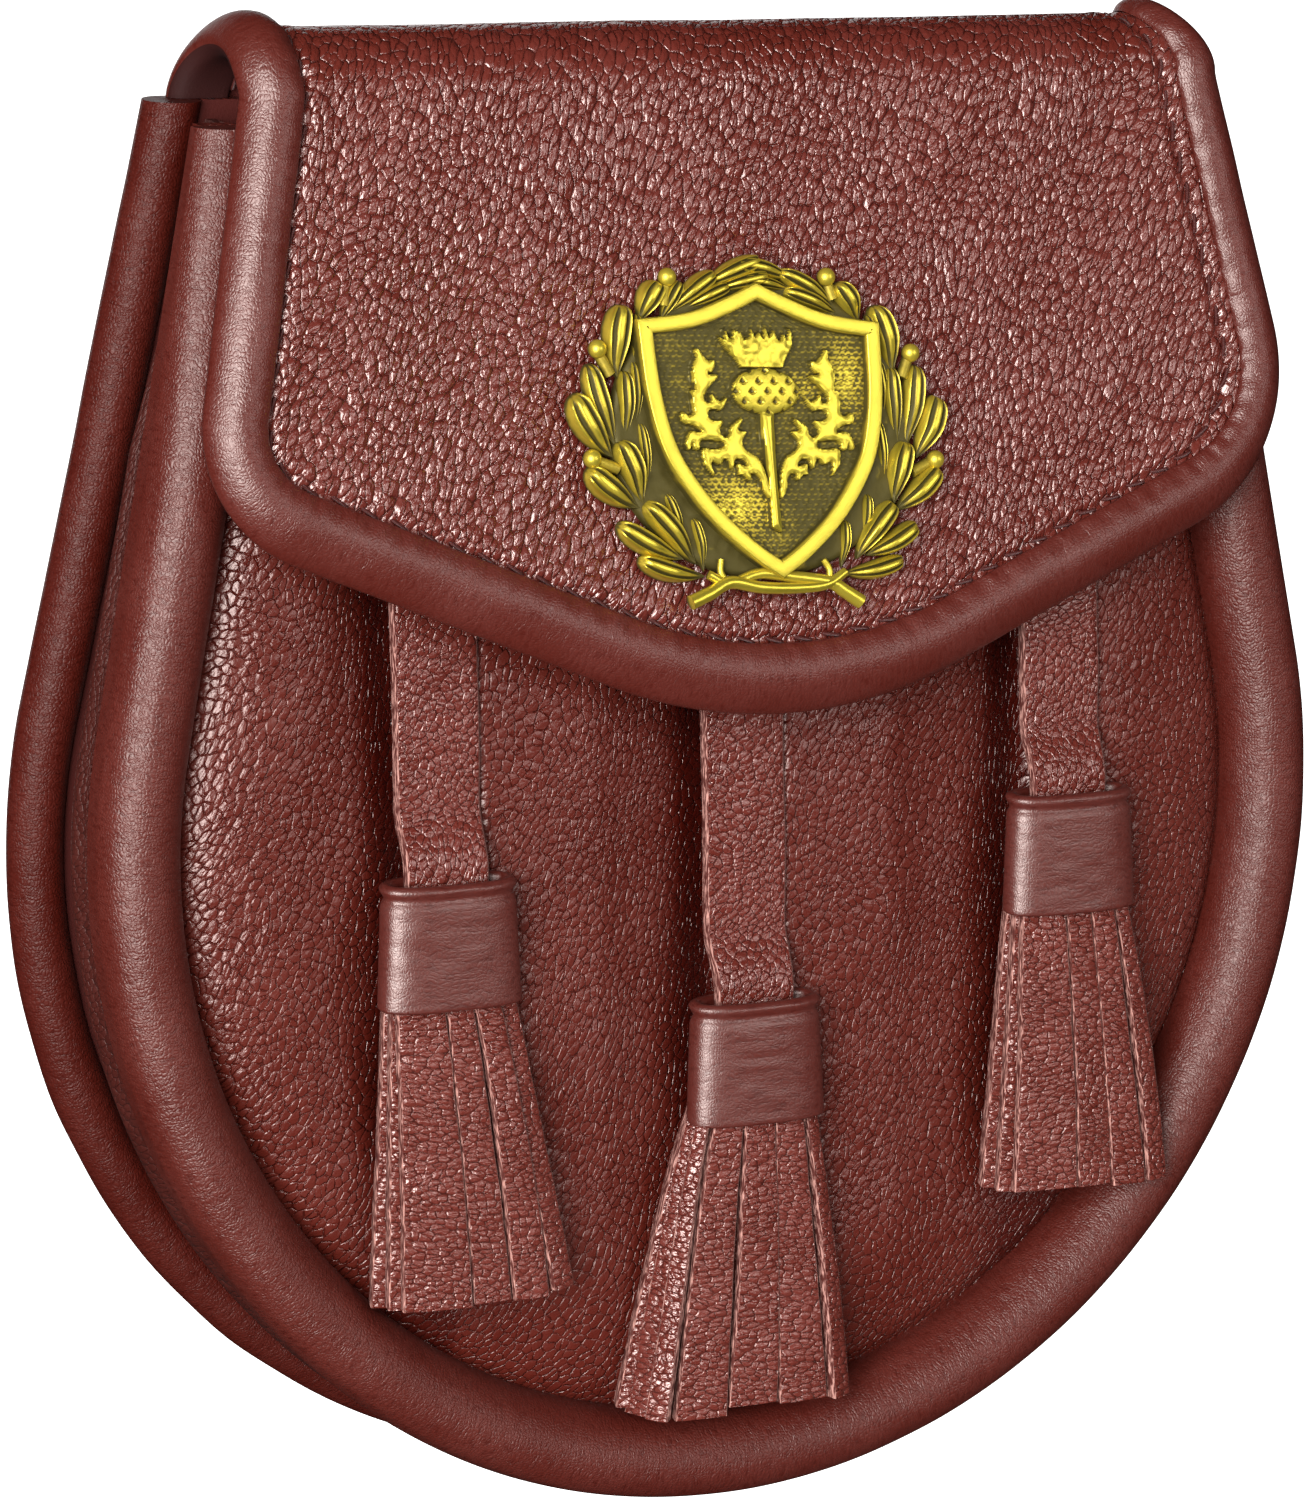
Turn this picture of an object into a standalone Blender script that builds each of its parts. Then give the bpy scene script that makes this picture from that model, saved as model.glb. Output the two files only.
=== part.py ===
"""Leather day sporran: a round-bottomed hollow pouch, its arched flap, three tassels and a cast badge.

X points to the viewer's right, -Y out of the front and +Z up. Sizes here are in millimetres and the
meshes are in metres. Heights are measured from the lowest point of the front piping. Every piece is
parented to an empty that puts the origin where the belt passes behind the back.
"""
import math

import bmesh
import bpy
from mathutils import Vector
from mathutils.geometry import delaunay_2d_cdt

MM = 0.001
GAP = 0.3
BELT_HEIGHT = 142.0

# Pouch outline: a circle below, straight sides that lean inward above it. The soft lower right is
# drawn in a little; its turn is measured from straight down.
CENTRE_HEIGHT = 92.0
FRONT_RADIUS = 92.0
BACK_RADIUS = 95.9
SIDE_LEAN = math.radians(11.0)
FRONT_TOP = 186.0
BACK_TOP = 188.4
ARC_STEPS = 40
DRAWN_IN = 2.2
DRAWN_IN_TURN = math.radians(52.0)
DRAWN_IN_REACH = math.radians(80.0)

# Back: a flat panel whose outer face is the plane y = 0, inside a round piping.
BACK_THICKNESS = 2.2
BACK_PIPING_RADIUS = 3.8
BACK_PIPING_SIDES = 10

# Front: the plane behind the front piping leans back as it rises. The panel behind it is domed, with
# a flat rim, and the straps press soft grooves into it.
FRONT_DEPTH_AT_CENTRE = 19.3
FRONT_LEAN = 0.115
FRONT_THICKNESS = 2.0
FRONT_RIM = 1.2
DOME_RISE = 5.3
DOME_REACH = 20.0
VALLEY_DEPTH = 1.8
VALLEY_WIDTH = 9.0
VALLEY_TOP = 146.0
VALLEY_FADE = 14.0
PANEL_STEP_X = 8.0
PANEL_STEP_Z = 14.0
PANEL_RINGS = (0.0, 1.2, 5.0, 12.0)

FRONT_PIPING_WIDTH = 11.5
FRONT_PIPING_DEPTH = 8.4
FRONT_PIPING_TOP_DEPTH = 4.6
PIPING_TAPER_START = 145.0
# Section of the front piping: across 0 is its outer edge, depth 0 its flat back.
PIPING_SECTION = (
    # across, depth
    (0.00, 0.00),
    (0.00, 0.42),
    (0.12, 0.76),
    (0.34, 0.98),
    (0.60, 1.00),
    (0.84, 0.78),
    (1.00, 0.38),
    (1.00, 0.00),
)

# Gusset: a thin wall from the back panel, folded inward, then straight behind the front piping.
GUSSET_HALF_THICKNESS = 0.6
GUSSET_BACK_INSET = 5.0
GUSSET_FRONT_INSET = 1.5
GUSSET_FOLD_SHARE = 0.6
GUSSET_STRAIGHT_SHARE = 0.35
GUSSET_LEAST_STRAIGHT = 0.8
GUSSET_TOP_SPARE = 3.5
SHARPEST_MITRE = 0.5

# Flap: a tail behind the back, a round arch over the top and a flat leaning face.
FLAP_THICKNESS = 2.4
FLAP_TAIL = 16.0
FLAP_TAIL_HALF_WIDTH = 68.0
TAIL_CLEARANCE = 0.6
ARCH_CENTRE_Y = -6.8
ARCH_CENTRE_HEIGHT = 188.7
ARCH_RADIUS = 9.5
ARCH_STEPS = 8
FLAP_LEAN = math.atan(0.245)
FLAP_CENTRE_X = 1.3
FLAP_BACK_HALF_WIDTH = 76.3
FLAP_SHOULDER_HALF_WIDTH = 72.6
FLAP_SIDE_LEAN = math.radians(11.3)
CREST_PINCH = {"left": 1.2, "right": 5.0}
FLAP_CORNER_RADIUS = {"left": 18.0, "right": 24.0}
FLAP_V_SLOPE = math.radians(22.7)
FLAP_TIP_RADIUS = 68.0
FLAP_DROP = 83.0
CORNER_STEPS = 9
TIP_STEPS = 4

# Section of the flap's binding: inset from its outer edge, and height over the leather's outer face.
BINDING_SECTION = (
    # inset, height
    (9.3, 0.3),
    (9.1, 1.2),
    (6.4, 1.8),
    (2.8, 1.6),
    (0.7, 0.6),
    (0.0, -1.2),
    (0.7, -3.0),
    (2.8, -4.0),
    (9.1, -4.0),
    (9.3, -2.7),
    (4.7, -2.7),
    (4.7, 0.3),
)
BINDING_SLOT_INSET = 4.7
BINDING_SIDE_NARROWING = 0.15

SNAP_HEIGHT = 158.0
SNAP_RADIUS = 6.0
SNAP_SIDES = 20
SNAP_PROFILE = (
    # share of the way from the flap to the front, share of the radius
    (0.0, 1.0),
    (0.35, 0.7),
    (0.65, 0.7),
    (1.0, 1.0),
)

# Tassels: each hangs on its strap; spread is how far its cut ends reach left and right of the collar.
TASSELS = (
    # side, centre x, collar top, strip length, spread left, spread right
    ("left", -45.4, 89.8, 39.0, 0.4, 7.4),
    ("centre", -0.3, 70.2, 38.4, 9.6, 4.0),
    ("right", 49.0, 94.4, 38.6, 2.2, 5.6),
)
STRAP_WIDTH = 12.2
STRAP_THICKNESS = 1.6
STRAP_TOP = 146.0
STRAP_RAMP_START = 1.0
STRAP_RAMP_END = 9.0
COLLAR_HEIGHT = 16.5
COLLAR_TOP_WIDTH = 18.6
COLLAR_BOTTOM_WIDTH = 20.2
COLLAR_DEPTH = 7.2
COLLAR_WALL = 1.4
COLLAR_CORNER = 3.0
COLLAR_ROUNDING = 1.1
CORNER_POINTS = 4
HEAD_SHARE = 0.6
HEAD_DROP = 1.0
STRIP_THICKNESS = 1.5
STRIP_TOP_WIDTH = 3.6
STRIP_BOTTOM_WIDTH = 5.6
# Rows of strips: how many, depth in front of the leather at the collar and at the cut ends, and
# how much of the tassel's spread they take.
STRIP_ROWS = (
    # count, depth at the top, depth at the bottom, share of the spread
    (5, 4.9, 6.4, 1.0),
    (4, 3.2, 3.6, 0.7),
    (5, 1.6, 1.4, 0.3),
)
STRIP_STEPS = 3
STRIP_BOW = 0.8
STRIP_SINK = 0.5
STRIP_STAGGER = 0.3
UNEVEN_END = 0.9
UNEVEN_TURN = 2.4

# Belt loops: strips sewn at both ends that stand off in the middle.
LOOP_X = 42.0
LOOP_WIDTH = 24.0
LOOP_THICKNESS = 1.8
LOOP_STANDOFF = 6.4
LOOP_HALF_HEIGHT = 26.0
LOOP_FOOT = 8.0
LOOP_RAMP = 4.0

# Badge, in its own plane: right, up, and out from the flap's face.
BADGE_X = -2.2
BADGE_HEIGHT = 147.0
BADGE_BASE = 1.2
BADGE_SINK = 0.48
PLATE_DRAFT = 0.02
RIM_DRAFT = 0.3
SHIELD_FIELD = 2.2
SHIELD_RIM = 3.6
SHIELD_RIM_WIDTH = 2.1
SHIELD_HALF = (
    # right, up
    (0.0, 18.8),
    (4.4, 17.1),
    (10.3, 15.2),
    (17.8, 14.2),
    (17.4, 4.5),
    (15.8, -3.0),
    (12.9, -8.3),
    (8.9, -13.1),
    (4.1, -17.1),
    (0.0, -19.6),
)
THISTLE_TOP = 3.3
THISTLE_SINK = 0.4
THISTLE_DRAFT = 0.05
THISTLE_FLOWER = (
    # right, up
    (-2.9, 8.2),
    (-5.3, 13.4),
    (-3.7, 12.0),
    (-2.6, 14.0),
    (-1.2, 12.3),
    (0.2, 14.4),
    (1.5, 12.3),
    (2.9, 13.9),
    (3.9, 12.0),
    (5.5, 13.2),
    (3.7, 8.2),
)
THISTLE_LEAF = (
    # right, up: the right-hand leaf, from the stem's foot round its outer side to the tip and back
    (1.4, -9.6),
    (5.2, -6.0),
    (7.4, -6.6),
    (7.0, -4.8),
    (10.6, -5.6),
    (9.6, -3.0),
    (13.2, -2.4),
    (11.4, -0.4),
    (13.4, 1.6),
    (10.8, 2.2),
    (12.2, 5.8),
    (10.0, 5.6),
    (10.2, 10.6),
    (8.2, 6.6),
    (6.9, 3.0),
    (8.4, 1.6),
    (5.2, 0.4),
    (6.8, -2.0),
    (3.6, -3.6),
)
BULB_CENTRE = (0.5, 5.3)
BULB_RADII = (4.8, 3.5)
BULB_TOP = 4.0
BULB_SIDES = 12
STEM_TOP = 3.5
STEM_HALF_WIDTH = 0.8
STEM_BOTTOM = -13.2
DOME_PROFILE = (
    # share of the height, share of the radius
    (0.0, 1.0),
    (0.6, 0.9),
    (1.0, 0.45),
)
# Wreath: leaves grow from a branch oval, and their tips lie on an outer and an inner oval.
WREATH_CENTRE = (0.7, 0.0)
BRANCH_RADII = (21.8, 18.2)
OUTER_TIP_RADII = (27.2, 22.6)
INNER_TIP_RADII = (20.2, 18.8)
PLATE_RADII = (23.2, 19.4)
PLATE_SIDES = 36
WREATH_LEAVES = 8
WREATH_START = math.radians(-66.0)
WREATH_END = math.radians(66.0)
OUTER_LEAF_TURN = math.radians(20.0)
INNER_LEAF_TURN = math.radians(22.0)
LEAF_HALF_WIDTH = 2.0
LEAF_TOP = 3.0
LEAF_LIFT = 0.05
LEAF_SHOULDER = 0.72
LEAF_EDGE = 0.9
RIB_ENDS = (0.25, 0.75)
BERRIES = ((11.6, 19.6), (23.4, 9.6), (25.2, -4.0))
BERRY_RADIUS = 1.2
BERRY_SIDES = 6
BERRY_STALK = 3.4
BERRY_STALK_TOP = 2.1
BERRY_STALK_HALF_WIDTH = 0.45
STEM_ENDS = ((12.4, -22.6), (-5.5, -19.2))
CUT_STEM_HALF_WIDTH = 0.85
CUT_STEM_TOP = 3.0
CUT_STEM_STEP = 0.2


def clear_scene():
    """Remove every object that is in the file."""
    for thing in list(bpy.data.objects):
        bpy.data.objects.remove(thing, do_unlink=True)


def principled(name, colour, roughness, metallic=0.0):
    """Make a plain material of one colour."""
    material = bpy.data.materials.new(name)
    material.use_nodes = True
    shader = material.node_tree.nodes["Principled BSDF"]
    shader.inputs["Base Color"].default_value = (*colour, 1.0)
    shader.inputs["Roughness"].default_value = roughness
    shader.inputs["Metallic"].default_value = metallic
    material.diffuse_color = (*colour, 1.0)
    return material


def finish(bm, name, material, parent, smooth_angle=35.0):
    """Turn a bmesh in millimetres into a named object in metres."""
    bmesh.ops.recalc_face_normals(bm, faces=bm.faces)
    bmesh.ops.scale(bm, vec=(MM, MM, MM), verts=bm.verts)
    mesh = bpy.data.meshes.new(name)
    bm.to_mesh(mesh)
    bm.free()
    mesh.shade_smooth()
    mesh.set_sharp_from_angle(angle=math.radians(smooth_angle))
    mesh.materials.append(material)
    thing = bpy.data.objects.new(name, mesh)
    bpy.context.scene.collection.objects.link(thing)
    thing.parent = parent
    return thing


def loft(bm, rings, closed=False):
    """Join rings of points into one closed body: its ends are capped, or it runs back to its start."""
    made = [[bm.verts.new(point) for point in ring] for ring in rings]
    pairs = list(zip(made, made[1:]))
    if closed:
        pairs.append((made[-1], made[0]))
    for first, second in pairs:
        for i in range(len(first)):
            j = (i + 1) % len(first)
            bm.faces.new((first[i], first[j], second[j], second[i]))
    if not closed:
        bm.faces.new(reversed(made[0]))
        bm.faces.new(made[-1])


def prism(bm, outline, low, high, shrink=0.0, place=None):
    """Raise a flat outline into a solid whose top is drawn in a little towards its middle."""
    middle = Vector((sum(p[0] for p in outline), sum(p[1] for p in outline))) / len(outline)
    rings = []
    for height, scale in ((low, 1.0), (high, 1.0 - shrink)):
        ring = [middle + (Vector(point) - middle) * scale for point in outline]
        rings.append([place(point.x, point.y, height) for point in ring])
    loft(bm, rings)


# ---------------------------------------------------------------- pouch outline


def front_plane(height):
    """Depth of the plane just behind the front piping."""
    return -FRONT_DEPTH_AT_CENTRE + FRONT_LEAN * (height - CENTRE_HEIGHT)


class Station:
    """One place on a pouch outline, with its outward direction."""

    def __init__(self, x, height, out_x, out_height):
        self.x = x
        self.height = height
        self.out_x = out_x
        self.out_height = out_height

    def at(self, inset):
        """Place and height this far inside the outline."""
        return self.x - inset * self.out_x, self.height - inset * self.out_height

    def from_back(self, inset, depth):
        """Point at a depth that is measured from the back's outer face."""
        x, height = self.at(inset)
        return x, depth, height

    def from_front(self, inset, depth):
        """Point at a depth that is measured from the front plane, with minus towards the viewer."""
        x, height = self.at(inset)
        return x, front_plane(height) + depth, height


def drawn_in(turn):
    """How far the outline is drawn in at a turn from straight down: a soft bump at the lower right."""
    away = min(abs(turn - DRAWN_IN_TURN) / DRAWN_IN_REACH, 1.0)
    return DRAWN_IN * (1.0 - away**2) ** 2


def outline(radius, top):
    """Stations from the top left, down round the bottom, to the top right."""
    reach = math.pi / 2 + SIDE_LEAN
    stations = []
    for i in range(ARC_STEPS + 1):
        turn = -reach + 2 * reach * i / ARC_STEPS
        across, down = math.sin(turn), -math.cos(turn)
        near = radius - drawn_in(turn)
        stations.append(Station(near * across, CENTRE_HEIGHT + near * down, across, down))
    start = stations[0].height
    lean_x, lean_height = math.cos(SIDE_LEAN), math.sin(SIDE_LEAN)
    # The top end is cut level, so its insets run straight across.
    for height, out_x, out_height in (
        (PIPING_TAPER_START, lean_x, lean_height),
        (top, 1.0 / lean_x, 0.0),
    ):
        x = radius * lean_x - (height - start) * math.tan(SIDE_LEAN)
        stations.append(Station(x - drawn_in(reach) / lean_x, height, out_x, out_height))
        stations.insert(0, Station(-x, height, -out_x, out_height))
    return stations


def inset_of(x, height):
    """How far a point lies inside the front outline."""
    side_start = CENTRE_HEIGHT + FRONT_RADIUS * math.sin(SIDE_LEAN)
    from_centre = Vector((abs(x), height - CENTRE_HEIGHT))
    if from_centre.y > math.tan(SIDE_LEAN) * from_centre.x:
        edge = FRONT_RADIUS * math.cos(SIDE_LEAN) - (height - side_start) * math.tan(SIDE_LEAN)
        turn = math.copysign(math.pi / 2 + SIDE_LEAN, x)
        return (edge - abs(x)) * math.cos(SIDE_LEAN) - drawn_in(turn)
    turn = math.atan2(x, CENTRE_HEIGHT - height)
    return FRONT_RADIUS - drawn_in(turn) - from_centre.length


# ---------------------------------------------------------------- back, front and gusset


def make_back(smooth, grained, parent):
    """The flat back panel inside its round piping."""
    stations = outline(BACK_RADIUS, BACK_TOP)
    panel = bmesh.new()
    inset = 2 * BACK_PIPING_RADIUS + GAP
    edge = [station.from_back(inset, 0.0) for station in stations]
    face = panel.faces.new([panel.verts.new(point) for point in edge])
    grown = bmesh.ops.extrude_face_region(panel, geom=[face])["geom"]
    verts = [item for item in grown if isinstance(item, bmesh.types.BMVert)]
    bmesh.ops.translate(panel, vec=(0.0, -BACK_THICKNESS, 0.0), verts=verts)
    finish(panel, "back_panel", grained, parent)

    piping = bmesh.new()
    flat_side = BACK_PIPING_RADIUS / math.cos(math.pi / BACK_PIPING_SIDES)
    rings = []
    for station in stations:
        ring = []
        for i in range(BACK_PIPING_SIDES):
            turn = 2 * math.pi * (i + 0.5) / BACK_PIPING_SIDES
            across = BACK_PIPING_RADIUS - flat_side * math.cos(turn)
            depth = -BACK_THICKNESS / 2 + flat_side * math.sin(turn)
            ring.append(station.from_back(across, depth))
        rings.append(ring)
    loft(piping, rings)
    finish(piping, "back_piping", smooth, parent)


def make_gusset(grained, parent):
    """The side wall: from the back panel inward to a fold, then out and forward to the front."""
    bm = bmesh.new()
    half = GUSSET_HALF_THICKNESS
    rings = []
    for station in outline(FRONT_RADIUS, FRONT_TOP):
        back = -BACK_THICKNESS - GAP
        front = front_plane(station.height) + FRONT_THICKNESS + 2 * GAP
        spare = back - front
        room = max(spare - GUSSET_TOP_SPARE, 0.0)
        corner = front + GUSSET_LEAST_STRAIGHT + GUSSET_STRAIGHT_SHARE * room
        fold = GUSSET_BACK_INSET + GUSSET_FOLD_SHARE * room
        middle = (back + corner) / 2
        draw_in = (GUSSET_BACK_INSET - GUSSET_FRONT_INSET) * taper_share(station.height)
        outer = GUSSET_FRONT_INSET + draw_in
        centre_line = (
            Vector((GUSSET_BACK_INSET, back)),
            Vector((fold, middle)),
            Vector((outer, corner)),
            Vector((outer, front)),
        )
        sides = ([], [])
        for i, point in enumerate(centre_line):
            before = (point - centre_line[i - 1]).normalized() if i else None
            after = (centre_line[i + 1] - point).normalized() if i + 1 < len(centre_line) else None
            if before is None or after is None:
                # Both ends lie flat on their panels.
                offset = Vector((half, 0.0))
            else:
                bend = (before + after).normalized()
                normal = Vector((-bend.y, bend.x))
                mitre = max(normal.dot(Vector((-after.y, after.x))), SHARPEST_MITRE)
                offset = normal * half / mitre
            sides[0].append(point + offset)
            sides[1].append(point - offset)
        ring = []
        for i, point in enumerate(sides[0] + sides[1][::-1]):
            if point.y < corner - half * 2:
                ring.append(station.from_front(point.x, point.y - front_plane(station.height)))
            else:
                ring.append(station.from_back(point.x, point.y))
        rings.append(ring)
    loft(bm, rings)
    finish(bm, "gusset", grained, parent)


def taper_share(height):
    """How far a height lies up the narrowing top of the pouch, from 0 to 1."""
    return max(height - PIPING_TAPER_START, 0.0) / (FRONT_TOP - PIPING_TAPER_START)


def piping_depth(height):
    """How far the front piping stands in front of its plane: less where the flap presses on it."""
    return FRONT_PIPING_DEPTH + (FRONT_PIPING_TOP_DEPTH - FRONT_PIPING_DEPTH) * taper_share(height)


def make_front_piping(smooth, parent):
    """The thick rolled piping round the front."""
    bm = bmesh.new()
    rings = []
    for station in outline(FRONT_RADIUS, FRONT_TOP):
        ring = []
        for across, depth in PIPING_SECTION:
            inset = across * FRONT_PIPING_WIDTH
            height = station.at(inset)[1]
            ring.append(station.from_front(inset, -depth * piping_depth(height)))
        rings.append(ring)
    loft(bm, rings)
    finish(bm, "front_piping", smooth, parent, 50.0)


def valley(x, height):
    """How deep the straps press into the front: a soft groove along each strap."""
    grooves = sum(math.exp(-(((x - tassel[1]) / VALLEY_WIDTH) ** 2)) for tassel in TASSELS)
    fade = min(max((VALLEY_TOP - height) / VALLEY_FADE, 0.0), 1.0)
    return VALLEY_DEPTH * grooves * fade


def front_surface(x, height):
    """Depth of the front panel's visible face: flat rim, steep shoulder, then nearly level."""
    inside = inset_of(x, height) - FRONT_PIPING_WIDTH - GAP
    share = min(max(inside, 0.0) / DOME_REACH, 1.0)
    rise = math.sqrt(1.0 - (1.0 - share) ** 2)
    return front_plane(height) + GAP - DOME_RISE * rise + valley(x, height) * share


def make_front_panel(grained, parent):
    """The domed front, whose flat rim lies behind the front piping."""
    stations = outline(FRONT_RADIUS, FRONT_TOP)
    start = FRONT_PIPING_WIDTH + GAP
    points = [station.at(FRONT_RIM) for station in stations]
    creases = [(i, (i + 1) % len(points)) for i in range(len(points))]
    for ring in PANEL_RINGS:
        first = len(points)
        points += [station.at(start + ring) for station in stations]
        creases += [(i, i + 1) for i in range(first, len(points) - 1)]
    across = math.ceil(FRONT_RADIUS / PANEL_STEP_X)
    up = math.ceil(FRONT_TOP / PANEL_STEP_Z)
    clear = start + PANEL_RINGS[-1] + PANEL_STEP_X / 2
    for i in range(-across, across + 1):
        for j in range(up):
            x, height = i * PANEL_STEP_X, FRONT_TOP - j * PANEL_STEP_Z
            if inset_of(x, height) > clear:
                points.append((x, height))
    flat = delaunay_2d_cdt([Vector(point) for point in points], creases, [], 1, 0.001)
    bm = bmesh.new()
    verts = [bm.verts.new((p.x, front_surface(p.x, p.y), p.y)) for p in flat[0]]
    for face in flat[2]:
        bm.faces.new([verts[i] for i in face])
    grown = bmesh.ops.extrude_face_region(bm, geom=list(bm.faces))["geom"]
    moved = [item for item in grown if isinstance(item, bmesh.types.BMVert)]
    bmesh.ops.translate(bm, vec=(0.0, FRONT_THICKNESS, 0.0), verts=moved)
    finish(bm, "front_panel", grained, parent)


# ---------------------------------------------------------------- flap


def flap_point(x, along, height):
    """Point on the unrolled flap: across, distance along from the tail's end, height over its face."""
    arch_turn = math.pi - FLAP_LEAN
    arch_length = ARCH_RADIUS * arch_turn
    radius = ARCH_RADIUS + height
    if along < FLAP_TAIL:
        return x, ARCH_CENTRE_Y + radius, ARCH_CENTRE_HEIGHT - FLAP_TAIL + along
    turn = min((along - FLAP_TAIL) / ARCH_RADIUS, arch_turn)
    depth = ARCH_CENTRE_Y + radius * math.cos(turn)
    rise = ARCH_CENTRE_HEIGHT + radius * math.sin(turn)
    beyond = max(along - FLAP_TAIL - arch_length, 0.0)
    return x, depth - beyond * math.sin(FLAP_LEAN), rise - beyond * math.cos(FLAP_LEAN)


def flap_along(height):
    """Distance along the unrolled flap of a height on its face."""
    arch_turn = math.pi - FLAP_LEAN
    face_start = ARCH_CENTRE_HEIGHT + ARCH_RADIUS * math.sin(arch_turn)
    return FLAP_TAIL + ARCH_RADIUS * arch_turn + (face_start - height) / math.cos(FLAP_LEAN)


def flap_edge(side):
    """Half of the flap's edge on the unrolled leather, from behind the top to the tip.

    The binding pinches the edge in over the crest. Both halves are given with x from the middle.
    """
    corner_radius = FLAP_CORNER_RADIUS[side]
    face = FLAP_TAIL + ARCH_RADIUS * (math.pi - FLAP_LEAN)
    tip = face + FLAP_DROP
    points = []
    for i in range(ARCH_STEPS + 1):
        share = i / ARCH_STEPS
        half = FLAP_BACK_HALF_WIDTH + (FLAP_SHOULDER_HALF_WIDTH - FLAP_BACK_HALF_WIDTH) * share
        half -= CREST_PINCH[side] * math.sin(math.pi * share) ** 2
        points.append((half, FLAP_TAIL + (face - FLAP_TAIL) * share))
    slope = math.tan(FLAP_V_SLOPE)
    v_foot = tip + FLAP_TIP_RADIUS * (1.0 / math.cos(FLAP_V_SLOPE) - 1.0)
    spread = math.tan(FLAP_SIDE_LEAN)
    corner_x = (FLAP_SHOULDER_HALF_WIDTH + spread * (v_foot - face)) / (1.0 + spread * slope)
    corner = Vector((corner_x, v_foot - slope * corner_x))
    turn = math.pi / 2 + FLAP_SIDE_LEAN - FLAP_V_SLOPE
    back_off = corner_radius * math.tan(turn / 2)
    start = corner - back_off * Vector((math.sin(FLAP_SIDE_LEAN), math.cos(FLAP_SIDE_LEAN)))
    centre = start - corner_radius * Vector((math.cos(FLAP_SIDE_LEAN), -math.sin(FLAP_SIDE_LEAN)))
    for i in range(CORNER_STEPS + 1):
        angle = -FLAP_SIDE_LEAN + turn * i / CORNER_STEPS
        points.append(tuple(centre + corner_radius * Vector((math.cos(angle), math.sin(angle)))))
    for i in range(TIP_STEPS + 1):
        angle = FLAP_V_SLOPE * (1.0 - i / TIP_STEPS)
        down = tip - FLAP_TIP_RADIUS * (1.0 - math.cos(angle))
        points.append((FLAP_TIP_RADIUS * math.sin(angle), down))
    return [Vector(point) for point in points]


def flap_outwards(points):
    """Outward direction at each point of the flap's edge, lengthened where the edge turns.

    Round the arch it runs straight across, so that every section there is square to the arch.
    """
    outs = []
    for i, point in enumerate(points):
        before = (point - points[i - 1]).normalized() if i else Vector((0.0, 1.0))
        after = (points[i + 1] - point).normalized() if i + 1 < len(points) else Vector((-1.0, 0.0))
        normal = Vector((before.y + after.y, -before.x - after.x)).normalized()
        outs.append(normal / normal.dot(Vector((after.y, -after.x))))
    outs[:ARCH_STEPS] = [Vector((1.0, 0.0))] * ARCH_STEPS
    return outs


def make_flap(smooth, grained, parent):
    """The flap's leather and the binding that is folded round its free edge."""
    edge = flap_edge("right")
    right = list(zip(edge, flap_outwards(edge)))
    edge = flap_edge("left")
    left = [(Vector((-point.x, point.y)), Vector((-out.x, out.y)))
            for point, out in zip(edge, flap_outwards(edge))]

    leather = bmesh.new()
    inset = BINDING_SLOT_INSET + GAP
    tail = FLAP_TAIL_HALF_WIDTH
    rows = [(-tail, 0.0, tail, 0.0), (-tail, FLAP_TAIL - TAIL_CLEARANCE, tail, FLAP_TAIL - TAIL_CLEARANCE)]
    for (left_point, left_out), (right_point, right_out) in list(zip(left, right))[:-1]:
        rows.append((*(left_point - inset * left_out), *(right_point - inset * right_out)))
    rings = []
    for left_x, left_along, right_x, right_along in rows:
        corners = (
            (left_x, left_along, 0.0),
            (right_x, right_along, 0.0),
            (right_x, right_along, -FLAP_THICKNESS),
            (left_x, left_along, -FLAP_THICKNESS),
        )
        rings.append([flap_point(FLAP_CENTRE_X + x, along, height) for x, along, height in corners])
    loft(leather, rings)
    finish(leather, "flap", grained, parent)

    binding = bmesh.new()
    rings = []
    for point, out in left[:-1] + right[::-1]:
        narrow = 1.0 - BINDING_SIDE_NARROWING * out.x**2
        ring = []
        for inset, height in BINDING_SECTION:
            place = point - inset * narrow * out
            ring.append(flap_point(FLAP_CENTRE_X + place.x, place.y, height))
        rings.append(ring)
    loft(binding, rings)
    finish(binding, "flap_binding", smooth, parent, 50.0)


def make_snap(metal, parent):
    """The hidden snap: a round post between the flap's inner face and the front."""
    bm = bmesh.new()
    rings = []
    for share, scale in SNAP_PROFILE:
        ring = []
        for i in range(SNAP_SIDES):
            turn = 2 * math.pi * i / SNAP_SIDES
            x = SNAP_RADIUS * scale * math.cos(turn)
            height = SNAP_HEIGHT + SNAP_RADIUS * scale * math.sin(turn)
            near = flap_point(x, flap_along(height), -FLAP_THICKNESS - GAP)
            far = (x, front_surface(x, near[2]) - GAP, near[2])
            ring.append(Vector(near).lerp(Vector(far), share))
        rings.append(ring)
    loft(bm, rings)
    finish(bm, "snap_stud", metal, parent)


# ---------------------------------------------------------------- straps, collars and tassels


def on_front(x, height, depth):
    """Point this far in front of the dome's level top, with the usual gap to it."""
    return x, front_plane(height) - DOME_RISE - depth, height


def rounded_box(width, depth, corner, centre_depth):
    """Rounded rectangle in plan, as pairs of across and depth."""
    ring = []
    for quarter in range(4):
        side_x = 1 if quarter in (0, 3) else -1
        side_y = 1 if quarter in (0, 1) else -1
        for i in range(CORNER_POINTS):
            turn = math.pi / 2 * (quarter + i / (CORNER_POINTS - 1))
            across = side_x * (width / 2 - corner) + corner * math.cos(turn)
            deep = side_y * (depth / 2 - corner) + corner * math.sin(turn)
            ring.append((across, centre_depth + deep))
    return ring


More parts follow.
